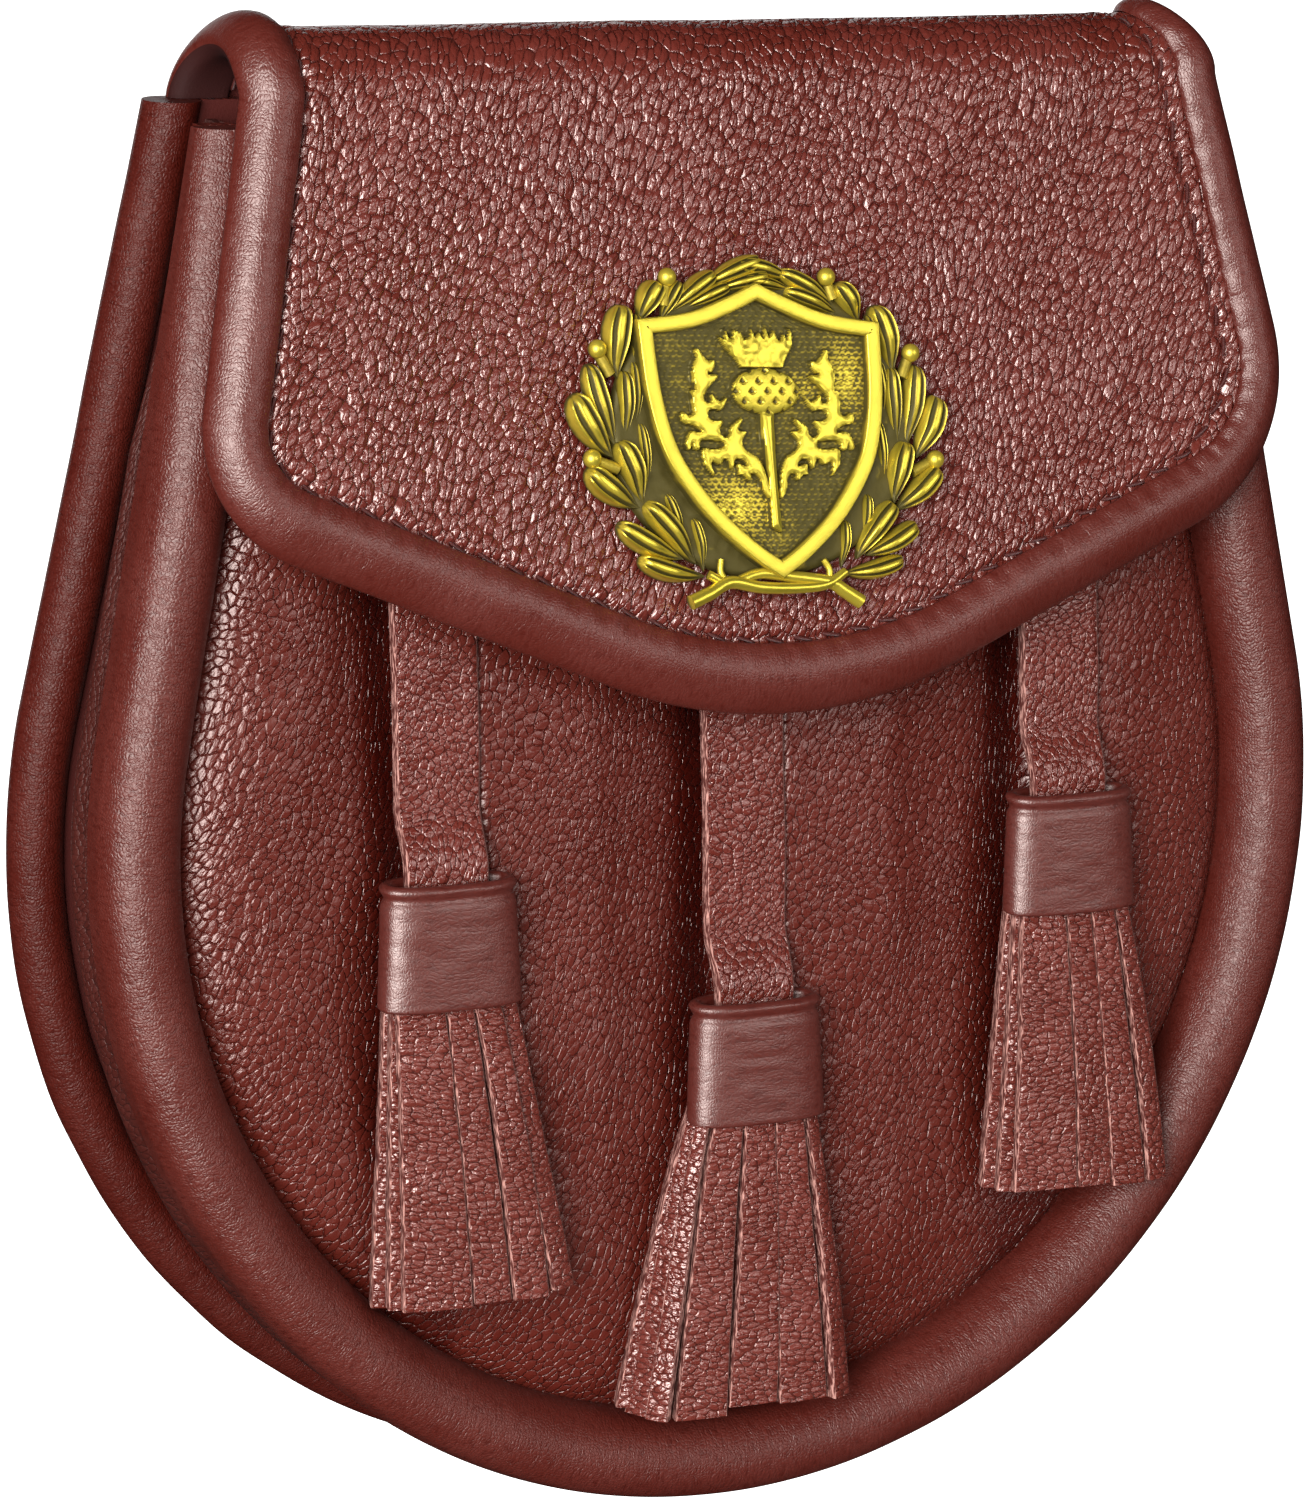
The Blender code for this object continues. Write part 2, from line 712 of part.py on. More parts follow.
def make_strap(side, x, collar_top, grained, parent):
    """A flat strap from under the flap down into its collar."""
    bm = bmesh.new()
    low = collar_top - COLLAR_HEIGHT * (1.0 - HEAD_SHARE) + GAP
    front = COLLAR_DEPTH / 2 + STRAP_THICKNESS / 2
    rings = []
    for height, near in (
        (low, front),
        (collar_top + STRAP_RAMP_START, front),
        (collar_top + STRAP_RAMP_END, STRAP_THICKNESS),
        (STRAP_TOP, STRAP_THICKNESS),
    ):
        ring = []
        for across, depth in ((-1, near), (1, near), (1, near - STRAP_THICKNESS),
                              (-1, near - STRAP_THICKNESS)):
            ring.append(on_front(x + across * STRAP_WIDTH / 2, height, depth))
        rings.append(ring)
    loft(bm, rings)
    finish(bm, f"strap_{side}", grained, parent)


def make_collar(side, x, collar_top, smooth, parent):
    """A ring of smooth leather round the tassel's head, a little wider below."""
    bm = bmesh.new()
    bottom = collar_top - COLLAR_HEIGHT
    levels = (
        # height, width, depth, corner radius
        (bottom, COLLAR_BOTTOM_WIDTH - 2 * COLLAR_WALL, COLLAR_DEPTH - 2 * COLLAR_WALL, COLLAR_CORNER / 2),
        (bottom, COLLAR_BOTTOM_WIDTH, COLLAR_DEPTH, COLLAR_CORNER),
        (collar_top - COLLAR_ROUNDING, COLLAR_TOP_WIDTH, COLLAR_DEPTH, COLLAR_CORNER),
        (collar_top, COLLAR_TOP_WIDTH - COLLAR_ROUNDING, COLLAR_DEPTH - COLLAR_ROUNDING, COLLAR_CORNER),
        (collar_top, COLLAR_TOP_WIDTH - 2 * COLLAR_WALL, COLLAR_DEPTH - 2 * COLLAR_WALL, COLLAR_CORNER / 2),
    )
    rings = []
    for height, width, depth, corner in levels:
        ring = rounded_box(width, depth, corner, COLLAR_DEPTH / 2)
        rings.append([on_front(x + across, height, deep) for across, deep in ring])
    loft(bm, rings, closed=True)
    finish(bm, f"collar_{side}", smooth, parent)


def make_fringe(side, x, collar_top, length, spread_left, spread_right, grained, parent):
    """Strips that fan out of a collar, fused to the head inside it."""
    head = bmesh.new()
    bottom = collar_top - COLLAR_HEIGHT
    narrow = 2 * (COLLAR_WALL + GAP)
    rings = []
    for height, width in (
        (bottom - HEAD_DROP, COLLAR_BOTTOM_WIDTH - narrow),
        (bottom + COLLAR_HEIGHT * HEAD_SHARE, COLLAR_TOP_WIDTH - narrow),
    ):
        ring = rounded_box(width, COLLAR_DEPTH - narrow, COLLAR_CORNER / 2, COLLAR_DEPTH / 2)
        rings.append([on_front(x + across, height, deep) for across, deep in ring])
    loft(head, rings)
    fringe = finish(head, f"fringe_{side}", grained, parent)

    strips = bmesh.new()
    reach = (COLLAR_BOTTOM_WIDTH - narrow) / 2 - COLLAR_CORNER / 4 - STRIP_TOP_WIDTH / 2
    for count, deep_top, deep_bottom, spread in STRIP_ROWS:
        for k in range(count):
            share = k / (count - 1)
            top_x = x + reach * (2 * share - 1.0)
            fan = spread * (share * spread_right - (1.0 - share) * spread_left)
            # Neighbours overlap at the top, so no two share a face's plane there.
            top = bottom - STRIP_SINK * (k + 1) / count
            lift = STRIP_STAGGER * (k % 2)
            end = bottom - length + UNEVEN_END * math.sin(UNEVEN_TURN * k + count)
            rings = []
            for step in range(STRIP_STEPS + 1):
                down = step / STRIP_STEPS
                middle = top_x + fan * down**STRIP_BOW
                width = STRIP_TOP_WIDTH + (STRIP_BOTTOM_WIDTH - STRIP_TOP_WIDTH) * down
                deep = deep_top + (deep_bottom - deep_top) * down + lift
                ring = []
                for across, thick in ((-0.5, 0.5), (0.5, 0.5), (0.5, -0.5), (-0.5, -0.5)):
                    depth = deep + thick * STRIP_THICKNESS
                    ring.append(on_front(middle + across * width, top + (end - top) * down, depth))
                rings.append(ring)
            loft(strips, rings)
    cutter = finish(strips, f"strips_{side}", grained, parent)
    fuse(fringe, cutter)


def fuse(body, addition):
    """Fuse one or more overlapping closed shapes to a body."""
    addition.hide_render = True
    addition.display_type = "WIRE"
    union = body.modifiers.new("fused", "BOOLEAN")
    union.operation = "UNION"
    union.solver = "EXACT"
    union.use_self = True
    union.object = addition


# ---------------------------------------------------------------- belt loops


def make_belt_loop(side, x, grained, parent):
    """A strip sewn to the back at both ends, with room for a belt behind its middle."""
    bm = bmesh.new()
    near, far = GAP, LOOP_STANDOFF
    inner = (
        # height from the belt's middle, depth
        (-LOOP_HALF_HEIGHT, near),
        (-LOOP_HALF_HEIGHT + LOOP_FOOT, near),
        (-LOOP_HALF_HEIGHT + LOOP_FOOT + LOOP_RAMP, far),
        (LOOP_HALF_HEIGHT - LOOP_FOOT - LOOP_RAMP, far),
        (LOOP_HALF_HEIGHT - LOOP_FOOT, near),
        (LOOP_HALF_HEIGHT, near),
    )
    outer = [(height, depth + LOOP_THICKNESS) for height, depth in inner]
    profile = list(inner) + outer[::-1]
    rings = []
    for across in (-LOOP_WIDTH / 2, LOOP_WIDTH / 2):
        rings.append([(x + across, depth, BELT_HEIGHT + height) for height, depth in profile])
    loft(bm, rings)
    finish(bm, f"belt_loop_{side}", grained, parent)


# ---------------------------------------------------------------- badge


def badge_point(right, up, out):
    """Point on the badge, whose back lies on the flap's leaning face."""
    along = flap_along(BADGE_HEIGHT) - up
    return flap_point(BADGE_X + right, along, GAP + out)


def mirrored(half):
    """Close a half outline that starts and ends on the middle line."""
    return list(half) + [(-right, up) for right, up in half[-2:0:-1]]


def shrunk(points, width):
    """The same closed clockwise outline, drawn in by a width."""
    corners = [Vector(point) for point in points]
    inner = []
    for i, point in enumerate(corners):
        before = (point - corners[i - 1]).normalized()
        after = (corners[(i + 1) % len(corners)] - point).normalized()
        normal = Vector((before.y + after.y, -before.x - after.x)).normalized()
        inner.append(tuple(point + normal * width / normal.dot(Vector((after.y, -after.x)))))
    return inner


def wreath_point(side, radii, turn):
    """Point of an oval round the wreath's centre, at a turn up from its widest place on one side."""
    right = side * radii[0] * math.cos(turn)
    return Vector((WREATH_CENTRE[0] + right, WREATH_CENTRE[1] + radii[1] * math.sin(turn)))


def add_leaf(bm, base, tip, lift):
    """A pointed leaf with a raised midrib, lifted a little over the leaf before it."""
    reach = tip - base
    side = Vector((reach.y, -reach.x)).normalized() * LEAF_HALF_WIDTH
    table = (
        # share of the length, share of the width
        (0.0, 0.15),
        (0.35, 0.95),
        (0.7, 0.8),
        (1.0, 0.0),
        (0.7, -0.8),
        (0.35, -0.95),
    )
    edge = [base + reach * forward + side * across for forward, across in table]
    middle = base + reach * 0.5
    top = LEAF_TOP + lift
    low = [bm.verts.new(badge_point(*point, BADGE_SINK + lift)) for point in edge]
    drawn = [middle + (point - middle) * LEAF_EDGE for point in edge]
    high = [bm.verts.new(badge_point(*point, top * LEAF_SHOULDER)) for point in drawn]
    rib = [bm.verts.new(badge_point(*(base + reach * share), top)) for share in RIB_ENDS]
    bm.faces.new(low[::-1])
    for i in range(len(edge)):
        j = (i + 1) % len(edge)
        bm.faces.new((low[i], low[j], high[j], high[i]))
    for i, j, *ends in ((0, 1, 0), (1, 2, 1, 0), (2, 3, 1), (3, 4, 1), (4, 5, 0, 1), (5, 0, 0)):
        bm.faces.new((high[i], high[j], *(rib[end] for end in ends)))


def add_dome(bm, centre, radii, low, high, sides):
    """A round boss: a low wall and a rounded top."""
    rings = []
    for share, scale in DOME_PROFILE:
        height = low + (high - low) * share
        ring = []
        for i in range(sides):
            turn = 2 * math.pi * (i + 0.5) / sides
            right = centre[0] + radii[0] * scale * math.cos(turn)
            up = centre[1] + radii[1] * scale * math.sin(turn)
            ring.append(badge_point(right, up, height))
        rings.append(ring)
    loft(bm, rings)


def make_badge(brass, parent):
    """The cast badge: a plate with shield, thistle and wreath raised on it, all one solid."""
    plate = bmesh.new()
    turns = [2 * math.pi * i / PLATE_SIDES for i in range(PLATE_SIDES)]
    oval = [wreath_point(1, PLATE_RADII, turn) for turn in turns]
    prism(plate, oval, 0.0, BADGE_BASE, PLATE_DRAFT, badge_point)
    badge = finish(plate, "badge", brass, parent)

    relief = bmesh.new()
    shield = mirrored(SHIELD_HALF)
    field = shrunk(shield, SHIELD_RIM_WIDTH)
    levels = (
        (shield, BADGE_SINK),
        (shrunk(shield, RIM_DRAFT), SHIELD_RIM),
        (field, SHIELD_RIM),
        (shrunk(field, RIM_DRAFT), SHIELD_FIELD),
    )
    loft(relief, [[badge_point(*point, height) for point in ring] for ring, height in levels])
    add_thistle(relief)
    add_wreath(relief)
    cutter = finish(relief, "badge_relief", brass, parent)
    fuse(badge, cutter)


def add_thistle(bm):
    """Flower, scaled bulb, stem and two jagged leaves."""
    low = SHIELD_FIELD - THISTLE_SINK
    prism(bm, THISTLE_FLOWER, low, THISTLE_TOP, THISTLE_DRAFT, badge_point)
    add_dome(bm, BULB_CENTRE, BULB_RADII, low, BULB_TOP, BULB_SIDES)
    middle, bulb_up = BULB_CENTRE
    stem = [(middle + side * STEM_HALF_WIDTH, up) for side, up in (
        (-1, bulb_up), (-1, STEM_BOTTOM), (1, STEM_BOTTOM), (1, bulb_up))]
    prism(bm, stem, low, STEM_TOP, THISTLE_DRAFT, badge_point)
    for side in (-1, 1):
        leaf = [(middle + side * (right - middle), up) for right, up in THISTLE_LEAF]
        prism(bm, leaf, low, THISTLE_TOP, THISTLE_DRAFT, badge_point)


def add_wreath(bm):
    """Two laurel branches of leaves in pairs, with berries and crossed stems."""
    for side in (-1, 1):
        for k in range(WREATH_LEAVES):
            turn = WREATH_START + (WREATH_END - WREATH_START) * k / (WREATH_LEAVES - 1)
            base = wreath_point(side, BRANCH_RADII, turn)
            # No two tops share a plane: each leaf is lifted by its own amount.
            lift = LEAF_LIFT * (k + 0.3 * side)
            add_leaf(bm, base, wreath_point(side, OUTER_TIP_RADII, turn + OUTER_LEAF_TURN), lift)
            lift += LEAF_LIFT / 2
            add_leaf(bm, base, wreath_point(side, INNER_TIP_RADII, turn + INNER_LEAF_TURN), lift)
        centre = Vector(WREATH_CENTRE)
        for right, up in BERRIES:
            place = Vector((centre.x + side * right, up))
            add_dome(bm, place, (BERRY_RADIUS, BERRY_RADIUS), BADGE_SINK, LEAF_TOP, BERRY_SIDES)
            root = place + (centre - place).normalized() * BERRY_STALK
            add_bar(bm, place, root, BERRY_STALK_HALF_WIDTH, BADGE_SINK, BERRY_STALK_TOP)
        start, end = (Vector((centre.x + side * right, up)) for right, up in STEM_ENDS)
        add_bar(bm, start, end, CUT_STEM_HALF_WIDTH, BADGE_SINK, CUT_STEM_TOP - side * CUT_STEM_STEP)


def add_bar(bm, start, end, half, low, high):
    """A straight bar between two points of the badge's plane."""
    along = (end - start).normalized()
    across = Vector((-along.y, along.x)) * half
    corners = [tuple(p) for p in (start - across, start + across, end + across, end - across)]
    prism(bm, corners, low, high, THISTLE_DRAFT, badge_point)


def main():
    """Build the whole sporran."""
    clear_scene()
    smooth = principled("smooth_leather", (0.155, 0.036, 0.030), 0.42)
    grained = principled("grained_leather", (0.150, 0.034, 0.028), 0.50)
    brass = principled("brass", (0.56, 0.40, 0.10), 0.34, 1.0)
    frame = bpy.data.objects.new("pouch_frame", None)
    frame.location = (0.0, 0.0, -BELT_HEIGHT * MM)
    bpy.context.scene.collection.objects.link(frame)

    make_back(smooth, grained, frame)
    make_gusset(grained, frame)
    make_front_panel(grained, frame)
    make_front_piping(smooth, frame)
    make_flap(smooth, grained, frame)
    make_snap(brass, frame)
    for side, x, collar_top, length, spread_left, spread_right in TASSELS:
        make_strap(side, x, collar_top, grained, frame)
        make_collar(side, x, collar_top, smooth, frame)
        make_fringe(side, x, collar_top, length, spread_left, spread_right, grained, frame)
    make_belt_loop("left", -LOOP_X, grained, frame)
    make_belt_loop("right", LOOP_X, grained, frame)
    make_badge(brass, frame)
    bpy.context.view_layer.update()


main()
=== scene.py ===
"""Looks of a leather day sporran: grained and smooth leather, stitches and an aged brass badge.

Sizes are in millimetres. Heights are measured from the lowest point of the front piping until a mesh
is made, and the mesh itself is in metres with its origin where the belt passes behind the back.
"""
import logging
import math
from dataclasses import dataclass, field
from enum import Enum

import bmesh
import bpy
import numpy as np
from mathutils import Matrix, Vector


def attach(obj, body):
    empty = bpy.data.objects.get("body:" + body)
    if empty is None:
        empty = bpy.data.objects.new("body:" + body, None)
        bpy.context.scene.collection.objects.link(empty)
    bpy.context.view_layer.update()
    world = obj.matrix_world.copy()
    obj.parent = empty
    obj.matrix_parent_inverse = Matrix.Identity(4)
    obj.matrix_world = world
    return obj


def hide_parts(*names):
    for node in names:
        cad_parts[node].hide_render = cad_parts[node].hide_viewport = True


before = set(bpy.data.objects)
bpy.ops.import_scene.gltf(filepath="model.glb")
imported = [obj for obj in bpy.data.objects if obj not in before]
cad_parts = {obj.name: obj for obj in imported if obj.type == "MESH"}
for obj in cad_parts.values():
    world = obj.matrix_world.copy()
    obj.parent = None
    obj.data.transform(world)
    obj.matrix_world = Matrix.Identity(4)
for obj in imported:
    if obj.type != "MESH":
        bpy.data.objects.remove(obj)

Array = np.ndarray
Value = "Wire | float"

MM = 0.001
BELT_HEIGHT = 142.0
BODY = "root"
WELD = 1e-6
GRID_EDGES = ((0, slice(None)), (-1, slice(None)), (slice(None), 0), (slice(None), -1))

log = logging.getLogger("sporran")


class Slot(Enum):
    """The record's material slots."""

    GRAINED = "grained_leather"
    SMOOTH = "smooth_leather"
    BRASS = "brass"


class Side(Enum):
    """The two sides of the sporran, seen from the front."""

    LEFT = -1
    RIGHT = 1


# ---------------------------------------------------------------- numbers on grids


def smooth_step(low: float, high: float, value: Array) -> Array:
    """Rise from 0 at low to 1 at high, with level ends: 3 t squared less 2 t cubed.

    Args:
        low: Where the rise starts.
        high: Where it ends.
        value: Places to read it at.

    Returns:
        The share at each place.
    """
    share = np.clip((value - low) / (high - low), 0.0, 1.0)
    return share * share * (3.0 - 2.0 * share)


def bump_of(value: Array, centre: float, width: float) -> Array:
    """A bell of height 1: e to the power of minus the squared distance in widths."""
    return np.exp(-(((value - centre) / width) ** 2))


@dataclass(frozen=True)
class SoftNoise:
    """Smooth random heights from -1 to 1, fixed by a seed."""

    seed: int
    size: float

    def at(self, u: Array, v: Array) -> Array:
        """Heights at places: the four nearest random values, blended by smooth steps.

        Args:
            u: First coordinate, in millimetres.
            v: Second coordinate.

        Returns:
            One height for each place.
        """
        table = np.random.default_rng(self.seed).uniform(-1.0, 1.0, (256, 256))
        u, v = np.broadcast_arrays(np.asarray(u) / self.size, np.asarray(v) / self.size)
        i, j = np.floor(u).astype(int), np.floor(v).astype(int)
        share_u, share_v = smooth_step(0.0, 1.0, u - i), smooth_step(0.0, 1.0, v - j)
        near = table[i % 256, j % 256] * (1 - share_u) + table[(i + 1) % 256, j % 256] * share_u
        far = table[i % 256, (j + 1) % 256] * (1 - share_u)
        far = far + table[(i + 1) % 256, (j + 1) % 256] * share_u
        return near * (1 - share_v) + far * share_v


def smooth_curve(points: Array, steps: int, closed: bool = False) -> Array:
    """Run a smooth curve through points.

    Between two points it is the cubic that passes through both and leaves each of them parallel to
    the line between that point's neighbours.

    Args:
        points: Array of (..., count, axes).
        steps: Pieces between two points.
        closed: True if the curve runs back to its first point.

    Returns:
        Array of (..., samples, axes); a closed curve repeats its first sample at the end.
    """
    points = np.asarray(points, float)
    if closed:
        first, last = points[..., -1:, :], points[..., :2, :]
    else:
        first = 2 * points[..., :1, :] - points[..., 1:2, :]
        last = 2 * points[..., -1:, :] - points[..., -2:-1, :]
    chain = np.concatenate([first, points, last], axis=-2)[..., :, None, :]
    a, b, c, d = chain[..., :-3, :, :], chain[..., 1:-2, :, :], chain[..., 2:-1, :, :], chain[..., 3:, :, :]
    t = (np.arange(steps) / steps)[:, None]
    curve = 0.5 * (2 * b + (c - a) * t + (2 * a - 5 * b + 4 * c - d) * t**2 + (3 * (b - c) + d - a) * t**3)
    curve = curve.reshape(*points.shape[:-2], -1, points.shape[-1])
    end = points[..., :1, :] if closed else points[..., -1:, :]
    return np.concatenate([curve, end], axis=-2)


def joined(*parts: "Array | float") -> Array:
    """Put numbers or arrays side by side, as the last axis of one array."""
    return np.stack(np.broadcast_arrays(*parts), axis=-1)


def unit(vectors: Array) -> Array:
    """The same ways with length 1; the last axis holds a vector."""
    return vectors / np.linalg.norm(vectors, axis=-1, keepdims=True)


def lengths(points: Array) -> Array:
    """Length along a line of points (count, axes), from 0 at its first point."""
    steps = np.linalg.norm(np.diff(points, axis=0), axis=1)
    return np.concatenate([[0.0], np.cumsum(steps)])


def read_along(points: Array, along: Array, places: Array) -> Array:
    """Points of a line at places; along holds the place of each given point."""
    return joined(*(np.interp(places, along, column) for column in points.T))


def spaced(points: Array, spacing: float) -> Array:
    """The same line of points, read again at even steps of about this spacing."""
    along = lengths(points)
    return read_along(points, along, np.linspace(0.0, along[-1], max(2, round(along[-1] / spacing) + 1)))


def normals_of(points: Array) -> Array:
    """Unit normals to the right of a flat line's way, one for each point (count, 2)."""
    ways = np.gradient(points, axis=0)
    return unit(joined(ways[:, 1], -ways[:, 0]))


def drawn_inside(outline: Array, width: float) -> Array:
    """A closed clockwise outline moved inwards, with mitred corners.

    Each point moves along the mean of its two edges' inward normals, by the width over the cosine of
    half the corner's turn.

    Args:
        outline: Points (count, 2), with no repeated end.
        width: How far each edge moves.

    Returns:
        The moved points.
    """
    ways = unit(np.roll(outline, -1, axis=0) - outline)
    inward = joined(ways[:, 1], -ways[:, 0])
    mean = unit(inward + np.roll(inward, 1, axis=0))
    return outline + mean * width / (mean * inward).sum(axis=1, keepdims=True)


# ---------------------------------------------------------------- meshes from grids


@dataclass
class MeshMaker:
    """Gathers grids of points and makes them one smooth mesh. A mark is a share kept at each point."""

    mark_name: str = "shine"
    points: list[Array] = field(default_factory=list)
    maps: list[Array] = field(default_factory=list)
    marks: list[Array] = field(default_factory=list)
    quads: list[Array] = field(default_factory=list)
    finishes: list[Array] = field(default_factory=list)
    count: int = 0

    def add(self, points: Array, uv: Array, finish: "int | Array" = 0, mark: "float | Array" = 0.0) -> None:
        """Add one grid, or a stack of equal grids.

        Args:
            points: (rows, columns, 3) or (copies, rows, columns, 3), in millimetres.
            uv: Place of each point on the leather, in millimetres, with 2 in place of 3.
            finish: Number of the finish, for the grid or for each column of faces.
            mark: The mark of each point, such as how far it is rubbed bright.
        """
        points = points if points.ndim == 4 else points[None]
        shape = points.shape[:3]
        size, columns = math.prod(shape), shape[2]
        corner = np.arange(size).reshape(shape)[:, :-1, :-1] + self.count
        quads = joined(corner, corner + 1, corner + columns + 1, corner + columns)
        self.points.append(points.reshape(-1, 3))
        self.maps.append(np.broadcast_to(uv, (*shape, 2)).reshape(-1, 2))
        self.marks.append(np.broadcast_to(mark, shape).reshape(-1))
        self.quads.append(quads.reshape(-1, 4))
        self.finishes.append(np.broadcast_to(finish, corner.shape).reshape(-1))
        self.count += size

    def add_tube(self, points: Array, uv: Array, finish: "int | Array" = 0,
                 mark: "float | Array" = 0.0) -> None:
        """Add a grid whose rows are rings, and close both of its ends with a point in their middle.

        Args:
            points: (rows, columns, 3) or (copies, rows, columns, 3), in millimetres.
            uv: Place of each point on the leather.
            finish: Number of the finish, for the tube or for each column of faces.
            mark: The mark of each point of a ring, for all rings. An end's middle has their mean.
        """
        middle = points.mean(axis=-2, keepdims=True) * np.ones_like(points)
        points = np.concatenate([middle[..., :1, :, :], points, middle[..., -1:, :, :]], axis=-3)
        uv = np.concatenate([uv[..., :1, :, :], uv, uv[..., -1:, :, :]], axis=-3)
        mark = np.array(np.broadcast_to(mark, uv.shape[:-1]), float)
        mark[..., [0, -1], :] = mark[..., [0, -1], :].mean(axis=-1, keepdims=True)
        self.add(points, uv, finish, mark)

    def add_wall(self, first: Array, last: Array, uv: Array, finish: int = 0,
                 mark: "float | Array" = 0.0) -> None:
        """Add one row of faces between two lines that share their places on the leather."""
        self.add(np.stack([first, last]), np.stack([uv, uv]), finish, mark)

    def add_round_sheet(self, outer: Array, inner: Array, uv: Array, mark: "float | Array" = 0.0) -> None:
        """Add a sheet of shrinking rings: two faces, and the wall between their widest rings.

        Args:
            outer: Rings of the outer face, the widest first.
            inner: The same rings on the inner face, which has finish 1.
            uv: Place of each point on the leather.
            mark: The mark of each point.
        """
        mark = np.broadcast_to(mark, uv.shape[:-1])
        self.add(outer, uv, 0, mark)
        self.add(inner, uv, 1, mark)
        self.add_wall(outer[0], inner[0], uv[0], 0, mark[0])

    def add_sheet(self, outer: Array, inner: Array, uv: Array) -> None:
        """Add a four-sided sheet with two faces and its four cut edges.

        Args:
            outer: Grid (rows, columns, 3) of the outer face.
            inner: The same grid on the inner face, which has finish 1.
            uv: Place of each point on the leather.
        """
        self.add(outer, uv, 0)
        self.add(inner, uv, 1)
        for edge in GRID_EDGES:
            self.add_wall(outer[edge], inner[edge], uv[edge])

    def build(self, name: str, finishes: "list[bpy.types.Material]", sharp: float) -> bpy.types.Object:
        """Make the object, weld what coincides and turn its faces outwards.

        Args:
            name: The piece's name.
            finishes: Materials, in the order of the finish numbers.
            sharp: Edges that turn by more degrees than this stay sharp.

        Returns:
            The new object.
        """
        points = (np.concatenate(self.points) - (0.0, 0.0, BELT_HEIGHT)) * MM
        quads = np.concatenate(self.quads)
        mesh = bpy.data.meshes.new(name)
        mesh.from_pydata(points, [], quads)
        layer = mesh.uv_layers.new(name="leather")
        layer.data.foreach_set("uv", (np.concatenate(self.maps)[quads.reshape(-1)] * MM).astype("f").ravel())
        mesh.polygons.foreach_set("material_index", np.concatenate(self.finishes).astype("i"))
        marks = mesh.attributes.new(self.mark_name, "FLOAT", "POINT")
        marks.data.foreach_set("value", np.concatenate(self.marks).astype("f"))
        work = bmesh.new()
        work.from_mesh(mesh)
        bmesh.ops.remove_doubles(work, verts=work.verts, dist=WELD)
        bmesh.ops.recalc_face_normals(work, faces=work.faces)
        work.to_mesh(mesh)
        work.free()
        mesh.shade_smooth()
        mesh.set_sharp_from_angle(angle=math.radians(sharp))
        for finish in finishes:
            mesh.materials.append(finish)
        piece = bpy.data.objects.new(name, mesh)
        bpy.context.scene.collection.objects.link(piece)
        return piece


def hand_over(piece: bpy.types.Object, slot: Slot, *nodes: str) -> None:
    """Let a piece ride on the body, and report it.

    Args:
        piece: The finished piece.
        slot: The record's slot that it shows; not used.
        nodes: The nodes that it replaces, if any.
    """
    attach(piece, BODY)
    if nodes:
        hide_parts(*nodes)
    log.info("%s: %d faces, for %s", piece.name, len(piece.data.polygons), ", ".join(nodes) or "nothing else")


# ---------------------------------------------------------------- shader maths


class Wire:
    """A node's output that takes part in sums. Each sum adds its own Math node."""

    def __init__(self, graph: "Graph", socket: bpy.types.NodeSocket) -> None:
        """Keep the graph and the socket."""
        self.graph = graph
        self.socket = socket

    def __add__(self, other: Value) -> "Wire":
        """Sum."""
        return self.graph.maths("ADD", self, other)

    def __sub__(self, other: Value) -> "Wire":
        """Difference."""
        return self.graph.maths("SUBTRACT", self, other)

    def __rsub__(self, other: float) -> "Wire":
        """A number less this."""
        return self.graph.maths("SUBTRACT", other, self)

    def __mul__(self, other: Value) -> "Wire":
        """Product."""
        return self.graph.maths("MULTIPLY", self, other)

    __radd__ = __add__
    __rmul__ = __mul__


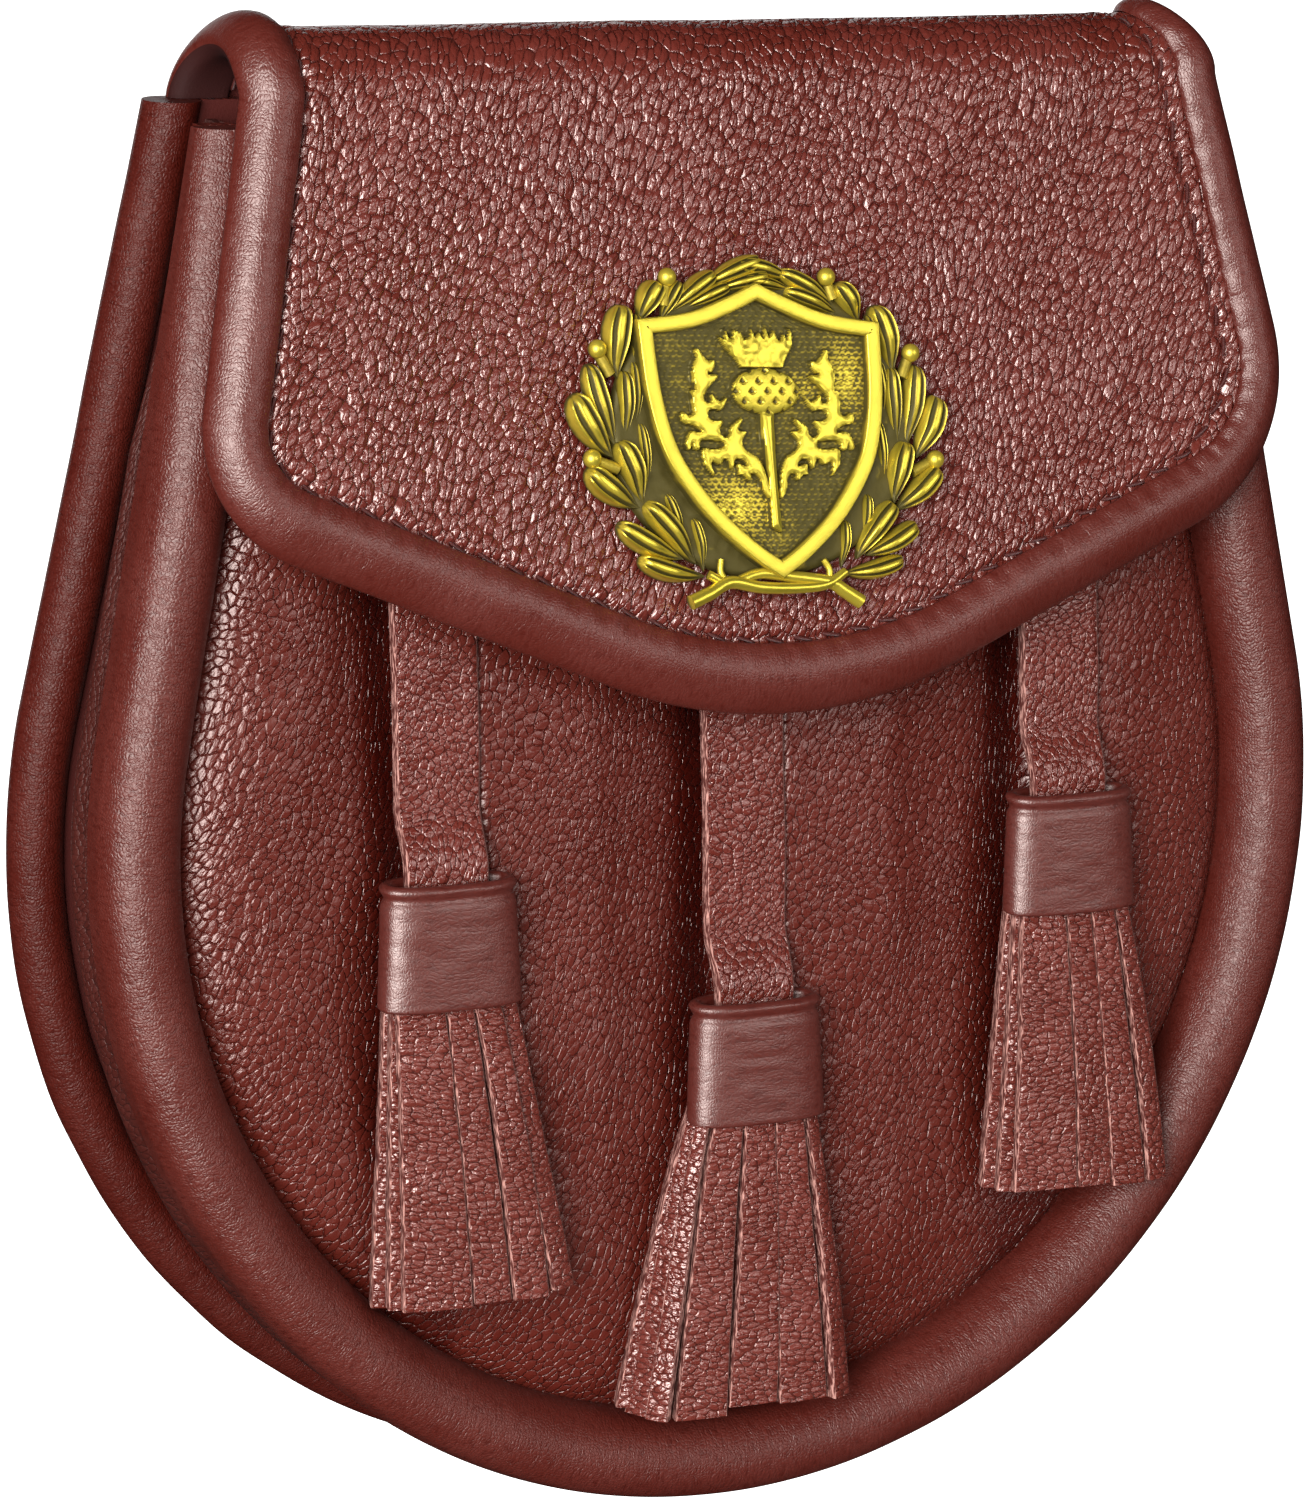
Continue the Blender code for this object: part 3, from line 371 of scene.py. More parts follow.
class Graph:
    """The nodes of one material."""

    def __init__(self, name: str, **constants: "float | tuple") -> None:
        """Start a material with its one surface shader.

        Args:
            name: The material's name.
            constants: Plain values of the shader's sockets, with _ in place of a space.
        """
        self.material = bpy.data.materials.new(name)
        self.material.use_nodes = True
        self.tree = self.material.node_tree
        self.shader = self.tree.nodes["Principled BSDF"]
        for socket, value in constants.items():
            self.shader.inputs[socket.replace("_", " ")].default_value = value

    def put(self, socket: bpy.types.NodeSocket, value: "Wire | float | tuple") -> None:
        """Link a wire to a socket, or set a plain value on it.

        Args:
            socket: The socket.
            value: What it gets.
        """
        if isinstance(value, Wire):
            self.tree.links.new(value.socket, socket)
        else:
            socket.default_value = value

    def node(self, kind: str, settings: "dict | None" = None, inputs: "dict | None" = None,
             output: "int | str" = 0) -> Wire:
        """Add any node.

        Args:
            kind: The node's type, without its ShaderNode prefix.
            settings: Its own settings.
            inputs: Values or wires, by the sockets' names or numbers.
            output: The output that is wanted.

        Returns:
            That output as a wire.
        """
        node = self.tree.nodes.new("ShaderNode" + kind)
        for key, value in (settings or {}).items():
            setattr(node, key, value)
        for key, value in (inputs or {}).items():
            self.put(node.inputs[key], value)
        return Wire(self, node.outputs[output])

    def maths(self, operation: str, first: Value, second: Value) -> Wire:
        """One Math node."""
        return self.node("Math", {"operation": operation}, {0: first, 1: second})

    def vector(self, operation: str, inputs: dict) -> Wire:
        """One Vector Math node."""
        return self.node("VectorMath", {"operation": operation}, inputs)

    def attribute(self, name: str) -> Wire:
        """A number that the mesh keeps at its points."""
        return self.node("Attribute", {"attribute_name": name}, output="Fac")

    def smooth(self, value: Wire, low: float, high: float) -> Wire:
        """Smooth rise from 0 at low to 1 at high."""
        inputs = {"Value": value, "From Min": low, "From Max": high}
        return self.node("MapRange", {"interpolation_type": "SMOOTHSTEP"}, inputs)

    def blend(self, share: Value, first: "Wire | tuple", second: "Wire | tuple") -> Wire:
        """Colour between two colours."""
        first, second = (c if isinstance(c, Wire) else (*c, 1.0) for c in (first, second))
        return self.node("Mix", {"data_type": "RGBA"}, {0: share, 6: first, 7: second}, 2)

    def leather_place(self, scale: "tuple[float, float]" = (1.0, 1.0), turn: float = 0.0) -> Wire:
        """Place on the leather, from its UV in millimetres.

        Args:
            scale: Units to a millimetre, along both ways.
            turn: Turn before the scale, in radians.

        Returns:
            The place as a vector.
        """
        uv = self.node("TexCoord", output="UV")
        turned = self.node("Mapping", {"vector_type": "POINT"}, {"Vector": uv, "Rotation": (0.0, 0.0, turn)})
        return self.vector("MULTIPLY", {0: turned, 1: (scale[0] / MM, scale[1] / MM, 1.0)})

    def noise(self, place: Wire, scale: float, detail: float = 2.0, rough: float = 0.5,
              output: str = "Fac") -> Wire:
        """Flat fractal noise from 0 to 1."""
        inputs = {"Vector": place, "Scale": scale, "Detail": detail, "Roughness": rough}
        return self.node("TexNoise", {"noise_dimensions": "2D"}, inputs, output)

    def solid_noise(self, scale: float, detail: float = 2.0) -> Wire:
        """Fractal noise from 0 to 1 on the object's own coordinates."""
        place = self.node("TexCoord", output="Object")
        return self.node("TexNoise", inputs={"Vector": place, "Scale": scale, "Detail": detail})

    def shifted(self, place: Wire, scale: float, reach: float) -> Wire:
        """A place moved about by noise, which bends every line that is drawn through it.

        Args:
            place: The place.
            scale: Scale of the noise.
            reach: How far it moves the place.

        Returns:
            The moved place.
        """
        centred = self.vector("SUBTRACT", {0: self.noise(place, scale, output="Color"), 1: (0.5, 0.5, 0.5)})
        return self.vector("ADD", {0: place, 1: self.vector("SCALE", {0: centred, "Scale": reach})})

    def cells(self, place: Wire, scale: float = 1.0, feature: str = "DISTANCE_TO_EDGE") -> Wire:
        """Distance from the nearest edge between random cells, or with F1 from their middles."""
        inputs = {"Vector": place, "Scale": scale, "Randomness": 0.9}
        return self.node("TexVoronoi", {"voronoi_dimensions": "2D", "feature": feature}, inputs, "Distance")

    def finish(self, colour: "Wire | tuple", roughness: Value,
               height: "Wire | None" = None) -> bpy.types.Material:
        """Wire the surface up.

        Args:
            colour: Base colour.
            roughness: Roughness.
            height: Relief in millimetres, or None for a bare surface.

        Returns:
            The material.
        """
        self.put(self.shader.inputs["Base Color"], colour if isinstance(colour, Wire) else (*colour, 1.0))
        self.put(self.shader.inputs["Roughness"], roughness)
        if height is not None:
            bump = self.node("Bump", inputs={"Height": height, "Distance": MM, "Strength": 1.0})
            self.put(self.shader.inputs["Normal"], bump)
        return self.material

# ---------------------------------------------------------------- finishes


@dataclass(frozen=True)
class GrainedLeather:
    """Pebbled burgundy leather: drawn-out cells with nearly level tops between narrow creases.

    The pattern is counted in cells. Domes, beads, grits, folds and creases are heights in
    millimetres; crease_shade is how dark a crease is painted, as painted shade.
    """

    name: str = "pebbled_leather"
    cell: float = 1.10
    stretch: float = 1.9
    flow: float = 24.0
    depth: float = 1.0
    domes: float = 0.30
    beads: float = 0.10
    grits: float = 0.020
    folds: float = 0.42
    creases: float = 0.17
    crease_width: float = 0.13
    whole_creases: float = 0.25
    crease_shade: float = 0.75
    # recessed turns on painted shade in the grooves that the mesh marks as recess
    recessed: bool = False
    recess_range: tuple = (0.16, 0.60)
    recess_shade: float = 0.85
    base: tuple = (0.076, 0.0098, 0.0058)
    worn: tuple = (0.092, 0.0142, 0.0096)
    # crease is the colour of the painted shade in creases and grooves
    crease: tuple = (0.034, 0.0018, 0.0006)
    gloss: float = 1.95
    rough: float = 0.30
    tint: tuple = (1.0, 0.82, 0.77, 1.0)

    def make(self) -> bpy.types.Material:
        """Relief: a low dome on each cell, smaller beads on it, grit, soft folds and creases.

        A dome is 1 less the squared distance from its cell's middle. A crease is narrow, and noise
        fades it out here and there. Painted shade darkens the creases, and marked grooves sink to the
        crease's colour.
        """
        graph = Graph(self.name, IOR=self.gloss, Specular_Tint=self.tint)
        scale = (1.0 / self.cell, 1.0 / (self.cell * self.stretch))
        place = graph.leather_place(scale, math.radians(self.flow))
        bent = graph.shifted(graph.shifted(place, 0.035, 7.0), 0.9, 0.42)
        middle, small = graph.cells(bent, 1.0, "F1"), graph.cells(graph.shifted(bent, 2.6, 0.3), 2.5, "F1")
        dome, bead = 1.0 - middle * middle * 1.3, 1.0 - small * small * 1.2
        broken = graph.smooth(graph.noise(place, 0.9, 3.0, 0.7), 0.40, 0.62)
        near = 1.0 - graph.smooth(graph.cells(bent), 0.0, self.crease_width)
        crease = 1.0 - near * (self.whole_creases + (1.0 - self.whole_creases) * broken)
        grit = graph.noise(bent, 6.0, 2.0, 0.6)
        patch = graph.noise(place, 0.08, 3.0)
        fold = graph.noise(bent, 0.5, 2.0, 0.6)
        height = self.domes * dome + self.beads * bead * (0.4 + 0.6 * dome) + self.grits * grit
        height = self.depth * (height + self.folds * fold + self.creases * crease)
        colour = graph.blend(graph.smooth(patch, 0.25, 0.75), self.base, self.worn)
        # painted shade: the colour darkens towards the crease's in every crease
        colour = graph.blend(1.0 - self.crease_shade * (1.0 - crease), self.crease, colour)
        # painted shade: deep in a marked groove the colour sinks to the crease's
        if self.recessed:
            recess = graph.smooth(graph.attribute("recess"), *self.recess_range)
            colour = graph.blend(self.recess_shade * recess, colour, self.crease)
        roughness = self.rough - 0.05 * dome + 0.14 * (grit - 0.5) + 0.06 * (patch - 0.5)
        return graph.finish(colour, roughness, height)


@dataclass(frozen=True)
class SmoothLeather:
    """Rolled smooth leather with fine wrinkles across its length and faint pores."""

    name: str = "rolled_leather"
    wrinkle: float = 0.08
    rough: float = 0.44
    gloss: float = 1.54
    base: tuple = (0.062, 0.0068, 0.0038)
    rubbed: tuple = (0.073, 0.0094, 0.0058)
    # dark is the colour of the painted shade in the wrinkles' troughs and the pores
    dark: tuple = (0.044, 0.0038, 0.0019)
    squeeze: tuple = (1.9, 0.62, 1.0)
    tint: tuple = (1.0, 0.86, 0.81, 1.0)

    def make(self) -> bpy.types.Material:
        """Wrinkles are noise squeezed along the piping and drawn out across it; painted shade darkens their
        troughs and the pores.
        """
        graph = Graph(self.name, IOR=self.gloss, Specular_Tint=self.tint)
        place = graph.shifted(graph.leather_place(), 0.35, 1.4)
        wrinkle = graph.noise(graph.vector("MULTIPLY", {0: place, 1: self.squeeze}), 1.0, 3.0, 0.55)
        pores = graph.smooth(graph.cells(place, 1.9), 0.0, 0.34)
        patch = graph.noise(place, 0.09, 3.0)
        height = self.wrinkle * (wrinkle * 1.5 + pores * 0.45)
        colour = graph.blend(graph.smooth(patch, 0.3, 0.75), self.base, self.rubbed)
        # painted shade: the colour darkens in the wrinkles' troughs and the pores
        colour = graph.blend(graph.smooth(wrinkle, 0.22, 0.52) * (0.55 + 0.45 * pores), self.dark, colour)
        roughness = self.rough + 0.16 * (wrinkle - 0.5) + 0.10 * (patch - 0.5) - 0.03 * pores
        return graph.finish(colour, roughness, height)


@dataclass(frozen=True)
class CutLeather:
    """The pale fibrous side of a cut."""

    name: str = "cut_leather"
    base: tuple = (0.055, 0.0080, 0.0050)
    pale: tuple = (0.360, 0.180, 0.150)
    gloss: float = 0.25

    def make(self) -> bpy.types.Material:
        """Fibres are noise drawn out along the strip."""
        graph = Graph(self.name, Specular_IOR_Level=self.gloss)
        place = graph.shifted(graph.leather_place((0.42, 2.4)), 0.9, 0.8)
        fibre = graph.noise(place, 1.3, 3.0, 0.6)
        colour = graph.blend(graph.smooth(fibre, 0.44, 0.66), self.base, self.pale)
        return graph.finish(colour, 0.84 + 0.08 * (fibre - 0.5), 0.14 * fibre)


@dataclass(frozen=True)
class InnerLeather:
    """The matt inner face of the pouch and of the flap, kept dark as painted shade."""

    name: str = "inner_leather"
    base: tuple = (0.034, 0.0024, 0.0013)
    pale: tuple = (0.052, 0.0060, 0.0038)
    gloss: float = 0.2

    def make(self) -> bpy.types.Material:
        """A short nap, as fine noise over soft patches."""
        graph = Graph(self.name, Specular_IOR_Level=self.gloss)
        place = graph.leather_place()
        nap = graph.noise(place, 2.4, 4.0, 0.7)
        patch = graph.noise(place, 0.16, 2.0)
        colour = graph.blend(nap * 0.5 + patch * 0.5, self.base, self.pale)
        return graph.finish(colour, 0.74 + 0.1 * (nap - 0.5), 0.06 * nap)


@dataclass(frozen=True)
class Thread:
    """Waxed burgundy thread with a twist."""

    name: str = "waxed_thread"
    base: tuple = (0.026, 0.0016, 0.0008)
    pale: tuple = (0.075, 0.0085, 0.0055)
    twist: float = 2.4
    slant: float = 32.0

    def make(self) -> bpy.types.Material:
        """The twist is a slanted wave over the thread's own UV."""
        graph = Graph(self.name)
        place = graph.leather_place(turn=math.radians(self.slant))
        wave = graph.node("TexWave", {"wave_type": "BANDS", "bands_direction": "X"},
                          {"Vector": place, "Scale": self.twist, "Distortion": 0.4}, "Fac")
        return graph.finish(graph.blend(wave, self.base, self.pale), 0.52 + 0.12 * (wave - 0.5), 0.05 * wave)


@dataclass(frozen=True)
class AgedBrass:
    """Cast brass, bright where it is rubbed and olive brown in its recesses."""

    name: str = "aged_brass"
    bright: tuple = (0.68, 0.54, 0.055)
    middle: tuple = (0.42, 0.31, 0.028)
    patina: tuple = (0.066, 0.052, 0.009)
    shiny: float = 0.33
    dull: float = 0.58
    grain: float = 1400.0
    stain: float = 320.0

    def make(self) -> bpy.types.Material:
        """The rubbed share comes with the piece; noise frays it."""
        graph = Graph(self.name)
        grit, stain = graph.solid_noise(self.grain, 3.0), graph.solid_noise(self.stain, 3.0)
        rubbed = graph.attribute("shine") + 0.22 * (grit - 0.5) + 0.34 * (stain - 0.5)
        rubbed = graph.node("Clamp", inputs={"Value": rubbed})
        colour = graph.blend(graph.smooth(rubbed, 0.05, 0.5), self.patina, self.middle)
        colour = graph.blend(graph.smooth(rubbed, 0.38, 0.86), colour, self.bright)
        roughness = self.dull - (self.dull - self.shiny) * rubbed + 0.10 * (grit - 0.5)
        graph.put(graph.shader.inputs["Metallic"], 0.55 + 0.35 * rubbed)
        return graph.finish(colour, roughness, 0.03 * grit + 0.03 * stain)


@dataclass(frozen=True)
class PlainBrass:
    """Turned brass for the hidden snap, with soft patches of wear."""

    name: str = "plain_brass"
    base: tuple = (0.60, 0.43, 0.12)
    dull: tuple = (0.30, 0.21, 0.07)

    def make(self) -> bpy.types.Material:
        """Wear is noise on the object's own coordinates."""
        graph = Graph(self.name, Metallic=1.0)
        wear = graph.solid_noise(500.0, 4.0)
        return graph.finish(graph.blend(wear, self.base, self.dull), 0.28 + 0.2 * wear, 0.02 * wear)


class Look(Enum):
    """Every finish, by its use."""

    FLAP = GrainedLeather()
    STRAP = GrainedLeather(
        "fine_pebbled_leather", cell=1.0, stretch=1.2, flow=40.0, domes=0.13, beads=0.06, grits=0.015,
        folds=0.26, crease_shade=0.45, base=(0.070, 0.0090, 0.0052), gloss=1.9, rough=0.28)
    STRIPS = GrainedLeather(
        "strip_pebbled_leather", cell=1.45, stretch=0.55, flow=4.0, domes=0.22, beads=0.08, grits=0.015,
        folds=0.35, crease_shade=0.45, base=(0.086, 0.0120, 0.0074), worn=(0.106, 0.0176, 0.0120), rough=0.32)
    # The front panel's copy is darker than the flap's as painted shade, and it paints shade in its grooves
    FRONT = GrainedLeather(
        "front_pebbled_leather_shaded", cell=1.02, stretch=1.5, flow=34.0, domes=0.10, beads=0.04, grits=0.016,
        folds=0.20, creases=0.20, crease_shade=0.62, recessed=True, base=(0.060, 0.0070, 0.0040),
        worn=(0.073, 0.0100, 0.0062), gloss=1.62, rough=0.32)
    # The gusset's copy is darker as painted shade
    GUSSET = GrainedLeather(
        "gusset_pebbled_leather_shaded", cell=0.8, depth=0.5, base=(0.036, 0.0036, 0.0019),
        worn=(0.043, 0.0050, 0.0029), gloss=1.5, rough=0.55)
    FRONT_ROLL = SmoothLeather()
    BINDING = SmoothLeather(
        "binding_leather", wrinkle=0.05, rough=0.40, gloss=1.66, base=(0.064, 0.0072, 0.0040),
        rubbed=(0.074, 0.0098, 0.0062), dark=(0.050, 0.0044, 0.0022))
    # The back piping's copy is darker as painted shade
    BACK_ROLL = SmoothLeather(
        "back_rolled_leather_shaded", wrinkle=0.10, rough=0.46, gloss=1.32, base=(0.048, 0.0046, 0.0024),
        rubbed=(0.058, 0.0068, 0.0040), dark=(0.034, 0.0026, 0.0012))
    COLLAR = SmoothLeather(
        "collar_leather", wrinkle=0.03, rough=0.42, gloss=1.85, base=(0.070, 0.0080, 0.0045))
    SHADED = InnerLeather("shaded_leather", base=(0.013, 0.0007, 0.0003), pale=(0.022, 0.0016, 0.0009))
    CUT = CutLeather()
    INNER = InnerLeather()
    THREAD = Thread()
    BADGE = AgedBrass()
    SNAP = PlainBrass()


# ---------------------------------------------------------------- the pouch's form


@dataclass
class Outline:
    """Places round the pouch from its top left, down and up to its top right, with outward ways."""

    x: Array
    height: Array
    out_x: Array
    out_height: Array

    @property
    def along(self) -> Array:
        """Length along the outline at each place."""
        return lengths(joined(self.x, self.height))

    def inside(self, inset: Array) -> "tuple[Array, Array]":
        """Across and height of points this far inside: rows are places, columns are insets."""
        return tuple(place[:, None] - inset * out[:, None] for place, out in
                     ((self.x, self.out_x), (self.height, self.out_height)))


@dataclass(frozen=True)
class PouchForm:
    """The shared form of the pouch: a circle below, and straight sides that lean inward above it."""

    centre_height: float = 92.0
    front_radius: float = 92.0
    back_radius: float = 95.9
    side_lean: float = math.radians(11.0)
    front_top: float = 186.0
    back_top: float = 188.4
    taper_start: float = 145.0
    drawn_in_by: float = 2.2
    drawn_in_turn: float = math.radians(52.0)
    drawn_in_reach: float = math.radians(80.0)
    front_depth: float = 19.3
    front_lean: float = 0.115
    back_thickness: float = 2.2
    level_end: float = 10.0
    spacing: float = 1.1

    def front_plane(self, height: Array) -> Array:
        """Depth of the plane behind the front piping, which leans back as it rises."""
        return -self.front_depth + self.front_lean * (height - self.centre_height)

    def drawn_in(self, turn: Array) -> Array:
        """How far the soft lower right is drawn in: the square of 1 less a squared turn."""
        away = np.minimum(np.abs(turn - self.drawn_in_turn) / self.drawn_in_reach, 1.0)
        return self.drawn_in_by * (1.0 - away**2) ** 2

    def outline(self, radius: float, top: float) -> Outline:
        """Places round the pouch at about even steps.

        The circle runs to a turn of a right angle and the sides' lean; the sides go straight up from
        there, and their outward way turns level at the cut top.

        Args:
            radius: Radius of the circle.
            top: Height of the cut top.

        Returns:
            The outline.
        """
        reach = math.pi / 2 + self.side_lean
        turn = np.linspace(-reach, reach, round(2 * reach * radius / self.spacing) + 1)
        near = radius - self.drawn_in(turn)
        start = self.centre_height + radius * math.sin(self.side_lean)
        rise = np.linspace(start, top, round((top - start) / self.spacing) + 1)[1:]
        side_x = radius * math.cos(self.side_lean) - (rise - start) * math.tan(self.side_lean)
        lean_x, lean_height = math.cos(self.side_lean), math.sin(self.side_lean)
        level = smooth_step(top - self.level_end, top, rise)
        out_x = lean_x * (1 - level) + level / lean_x
        out_height = lean_height * (1 - level)
        right = side_x - self.drawn_in(np.array([reach])) / lean_x
        return Outline(
            np.concatenate([-side_x[::-1], near * np.sin(turn), right]),
            np.concatenate([rise[::-1], self.centre_height - near * np.cos(turn), rise]),
            np.concatenate([-out_x[::-1], np.sin(turn), out_x]),
            np.concatenate([out_height[::-1], -np.cos(turn), out_height]),
        )

    def inset_of(self, x: Array, height: Array) -> Array:
        """How far points lie inside the front outline: from its circle below, from its sides above.

        Args:
            x: Across.
            height: Height.

        Returns:
            The distance, which is below zero outside.
        """
        start = self.centre_height + self.front_radius * math.sin(self.side_lean)
        edge = self.front_radius * math.cos(self.side_lean) - (height - start) * math.tan(self.side_lean)
        reach = math.pi / 2 + self.side_lean
        side = (edge - np.abs(x)) * math.cos(self.side_lean) - self.drawn_in(np.sign(x) * reach)
        turn = np.arctan2(x, self.centre_height - height)
        round_part = self.front_radius - self.drawn_in(turn) - np.hypot(x, height - self.centre_height)
        above = height - self.centre_height > math.tan(self.side_lean) * np.abs(x)
        return np.where(above, side, round_part)

    def taper_share(self, height: Array) -> Array:
        """How far a height lies up the narrowing top of the pouch, from 0 to 1."""
        return np.clip((height - self.taper_start) / (self.front_top - self.taper_start), 0.0, 1.0)


@dataclass(frozen=True)
class RoundPanel:
    """A sheet that fills an outline: rings of the outline shrink towards its middle."""

    centre: "tuple[float, float]" = (0.0, 104.0)
    rings: int = 74
    spacing: float = 1.7

    def places(self, outline: Outline, inset: float) -> "tuple[Array, Array]":
        """Across and height of the sheet's grid: outline points, scaled about the middle.

        Args:
            outline: The outline to fill.
            inset: How far inside it the sheet ends.

        Returns:
            Across and height, each (rings, points), with the first point repeated at the end.
        """
        x, height = outline.inside(np.array([inset]))
        edge = np.concatenate([x, height], axis=1)
        edge = spaced(np.concatenate([edge, edge[:1]]), self.spacing)
        shares = np.linspace(1.0, 0.0, self.rings)[:, None]
        return tuple(middle + (edge[:, k] - middle) * shares for k, middle in enumerate(self.centre))


@dataclass(frozen=True)
class TasselPlace:
    """Where one tassel hangs, and how far its cut ends spread to each side of the collar."""

    side: str
    x: float
    collar_top: float
    length: float
    spread_left: float
    spread_right: float


TASSEL_PLACES = (
    TasselPlace("left", -45.4, 89.8, 39.0, 0.4, 7.4),
    TasselPlace("centre", -0.3, 70.2, 38.4, 9.6, 4.0),
    TasselPlace("right", 49.0, 94.4, 38.6, 2.2, 5.6),
)


@dataclass
class SubAssembly:
    """Pieces that follow one form."""

    form: "PouchForm | FlapForm"
    materials: "dict[Look, bpy.types.Material]"

    def deliver(self, maker: MeshMaker, name: str, slot: Slot, looks: "list[Look]", *nodes: str,
                sharp: float = 60.0) -> None:
        """Make the gathered grids a piece and hand it over."""
        hand_over(maker.build(name, [self.materials[look] for look in looks], sharp), slot, *nodes)


@dataclass
class BackWall(SubAssembly):
    """The flat back panel and the round piping at its edge."""

    piping_radius: float = 3.8
    overlap: float = 0.4
    swell: float = 0.35
    swell_reach: float = 14.0
    sides: int = 28
    unevenness: float = 0.10

    def panel(self) -> None:
        """The panel's outer face swells a little towards its middle and has soft dents."""
        outline = self.form.outline(self.form.back_radius, self.form.back_top)
        x, height = RoundPanel().places(outline, 2 * self.piping_radius - self.overlap)
        rise = smooth_step(0.0, self.swell_reach, self.form.inset_of(x, height) - self.piping_radius)
        dents = self.swell * SoftNoise(5, 26.0).at(x, height) * rise
        maker = MeshMaker()
        maker.add_round_sheet(joined(x, -np.abs(dents) * rise, height),
                              joined(x, -self.form.back_thickness, height), joined(x, height))
        self.deliver(maker, "back_panel_leather", Slot.GRAINED, [Look.FLAP, Look.INNER], "back_panel",
                     sharp=40.0)

    def piping(self) -> None:
        """The piping: a circle carried round the outline, a little uneven along it."""
        outline = self.form.outline(self.form.back_radius, self.form.back_top)
        turn = np.linspace(0.0, 2 * math.pi, self.sides + 1)
        along = outline.along[:, None]
        radius = self.piping_radius + self.unevenness * SoftNoise(8, 9.0).at(along, 3 * np.sin(turn)[None])
        x, height = outline.inside(self.piping_radius - radius * np.cos(turn))
        depth = -self.form.back_thickness / 2 + radius * np.sin(turn)
        maker = MeshMaker()
        maker.add_tube(joined(x, depth, height), joined(along, self.piping_radius * turn))
        self.deliver(maker, "back_piping_roll", Slot.SMOOTH, [Look.BACK_ROLL], "back_piping", sharp=40.0)


@dataclass
class GussetWall(SubAssembly):
    """The side wall: from the back panel inward to a fold, then out and forward to the front."""

    half_thickness: float = 0.6
    back_inset: float = 5.0
    front_inset: float = 1.5
    fold_share: float = 0.6
    straight_share: float = 0.35
    least_straight: float = 0.8
    top_spare: float = 3.5
    front_thickness: float = 2.0
    gap: float = 0.3
    steps: int = 8
    waviness: float = 0.5
    full_wave_room: float = 6.0
    strip_width: float = 40.0

    def build(self) -> None:
        """Loft the folded section round the outline: four points at each place, made a smooth curve."""
        outline = self.form.outline(self.form.front_radius, self.form.front_top)
        plane = self.form.front_plane(outline.height)
        back = np.full_like(plane, -self.form.back_thickness - self.gap)
        front = plane + self.front_thickness + 2 * self.gap
        room = np.maximum(back - front - self.top_spare, 0.0)
        corner = front + self.least_straight + self.straight_share * room
        wave = self.waviness * SoftNoise(31, 17.0).at(outline.along, 0.0)
        fold = self.back_inset + self.fold_share * room + wave * np.minimum(room / self.full_wave_room, 1.0)
        taper = self.form.taper_share(outline.height)
        outer = self.front_inset + (self.back_inset - self.front_inset) * taper
        places = (self.back_inset, back), (fold, (back + corner) / 2), (outer, corner), (outer, front)
        line = smooth_curve(np.stack([joined(*place) for place in places], axis=1), self.steps)
        way = np.gradient(line, axis=1)
        normal = unit(joined(way[..., 1], -way[..., 0]))
        normal[:, [0, -1]] = (-1.0, 0.0)
        aside = normal * self.half_thickness
        ring = np.concatenate([line - aside, (line + aside)[:, ::-1], (line - aside)[:, :1]], axis=1)
        x, height = outline.inside(ring[..., 0])
        share = np.clip((ring[..., 1] - back[:, None]) / (front - back)[:, None], 0.0, 1.0)
        depth = ring[..., 1] + share * (self.form.front_plane(height) - plane[:, None])
        maker = MeshMaker()
        maker.add_tube(joined(x, depth, height),
                       joined(outline.along[:, None], np.linspace(0.0, self.strip_width, ring.shape[1])))
        self.deliver(maker, "gusset_fold", Slot.GRAINED, [Look.GUSSET], "gusset", sharp=40.0)


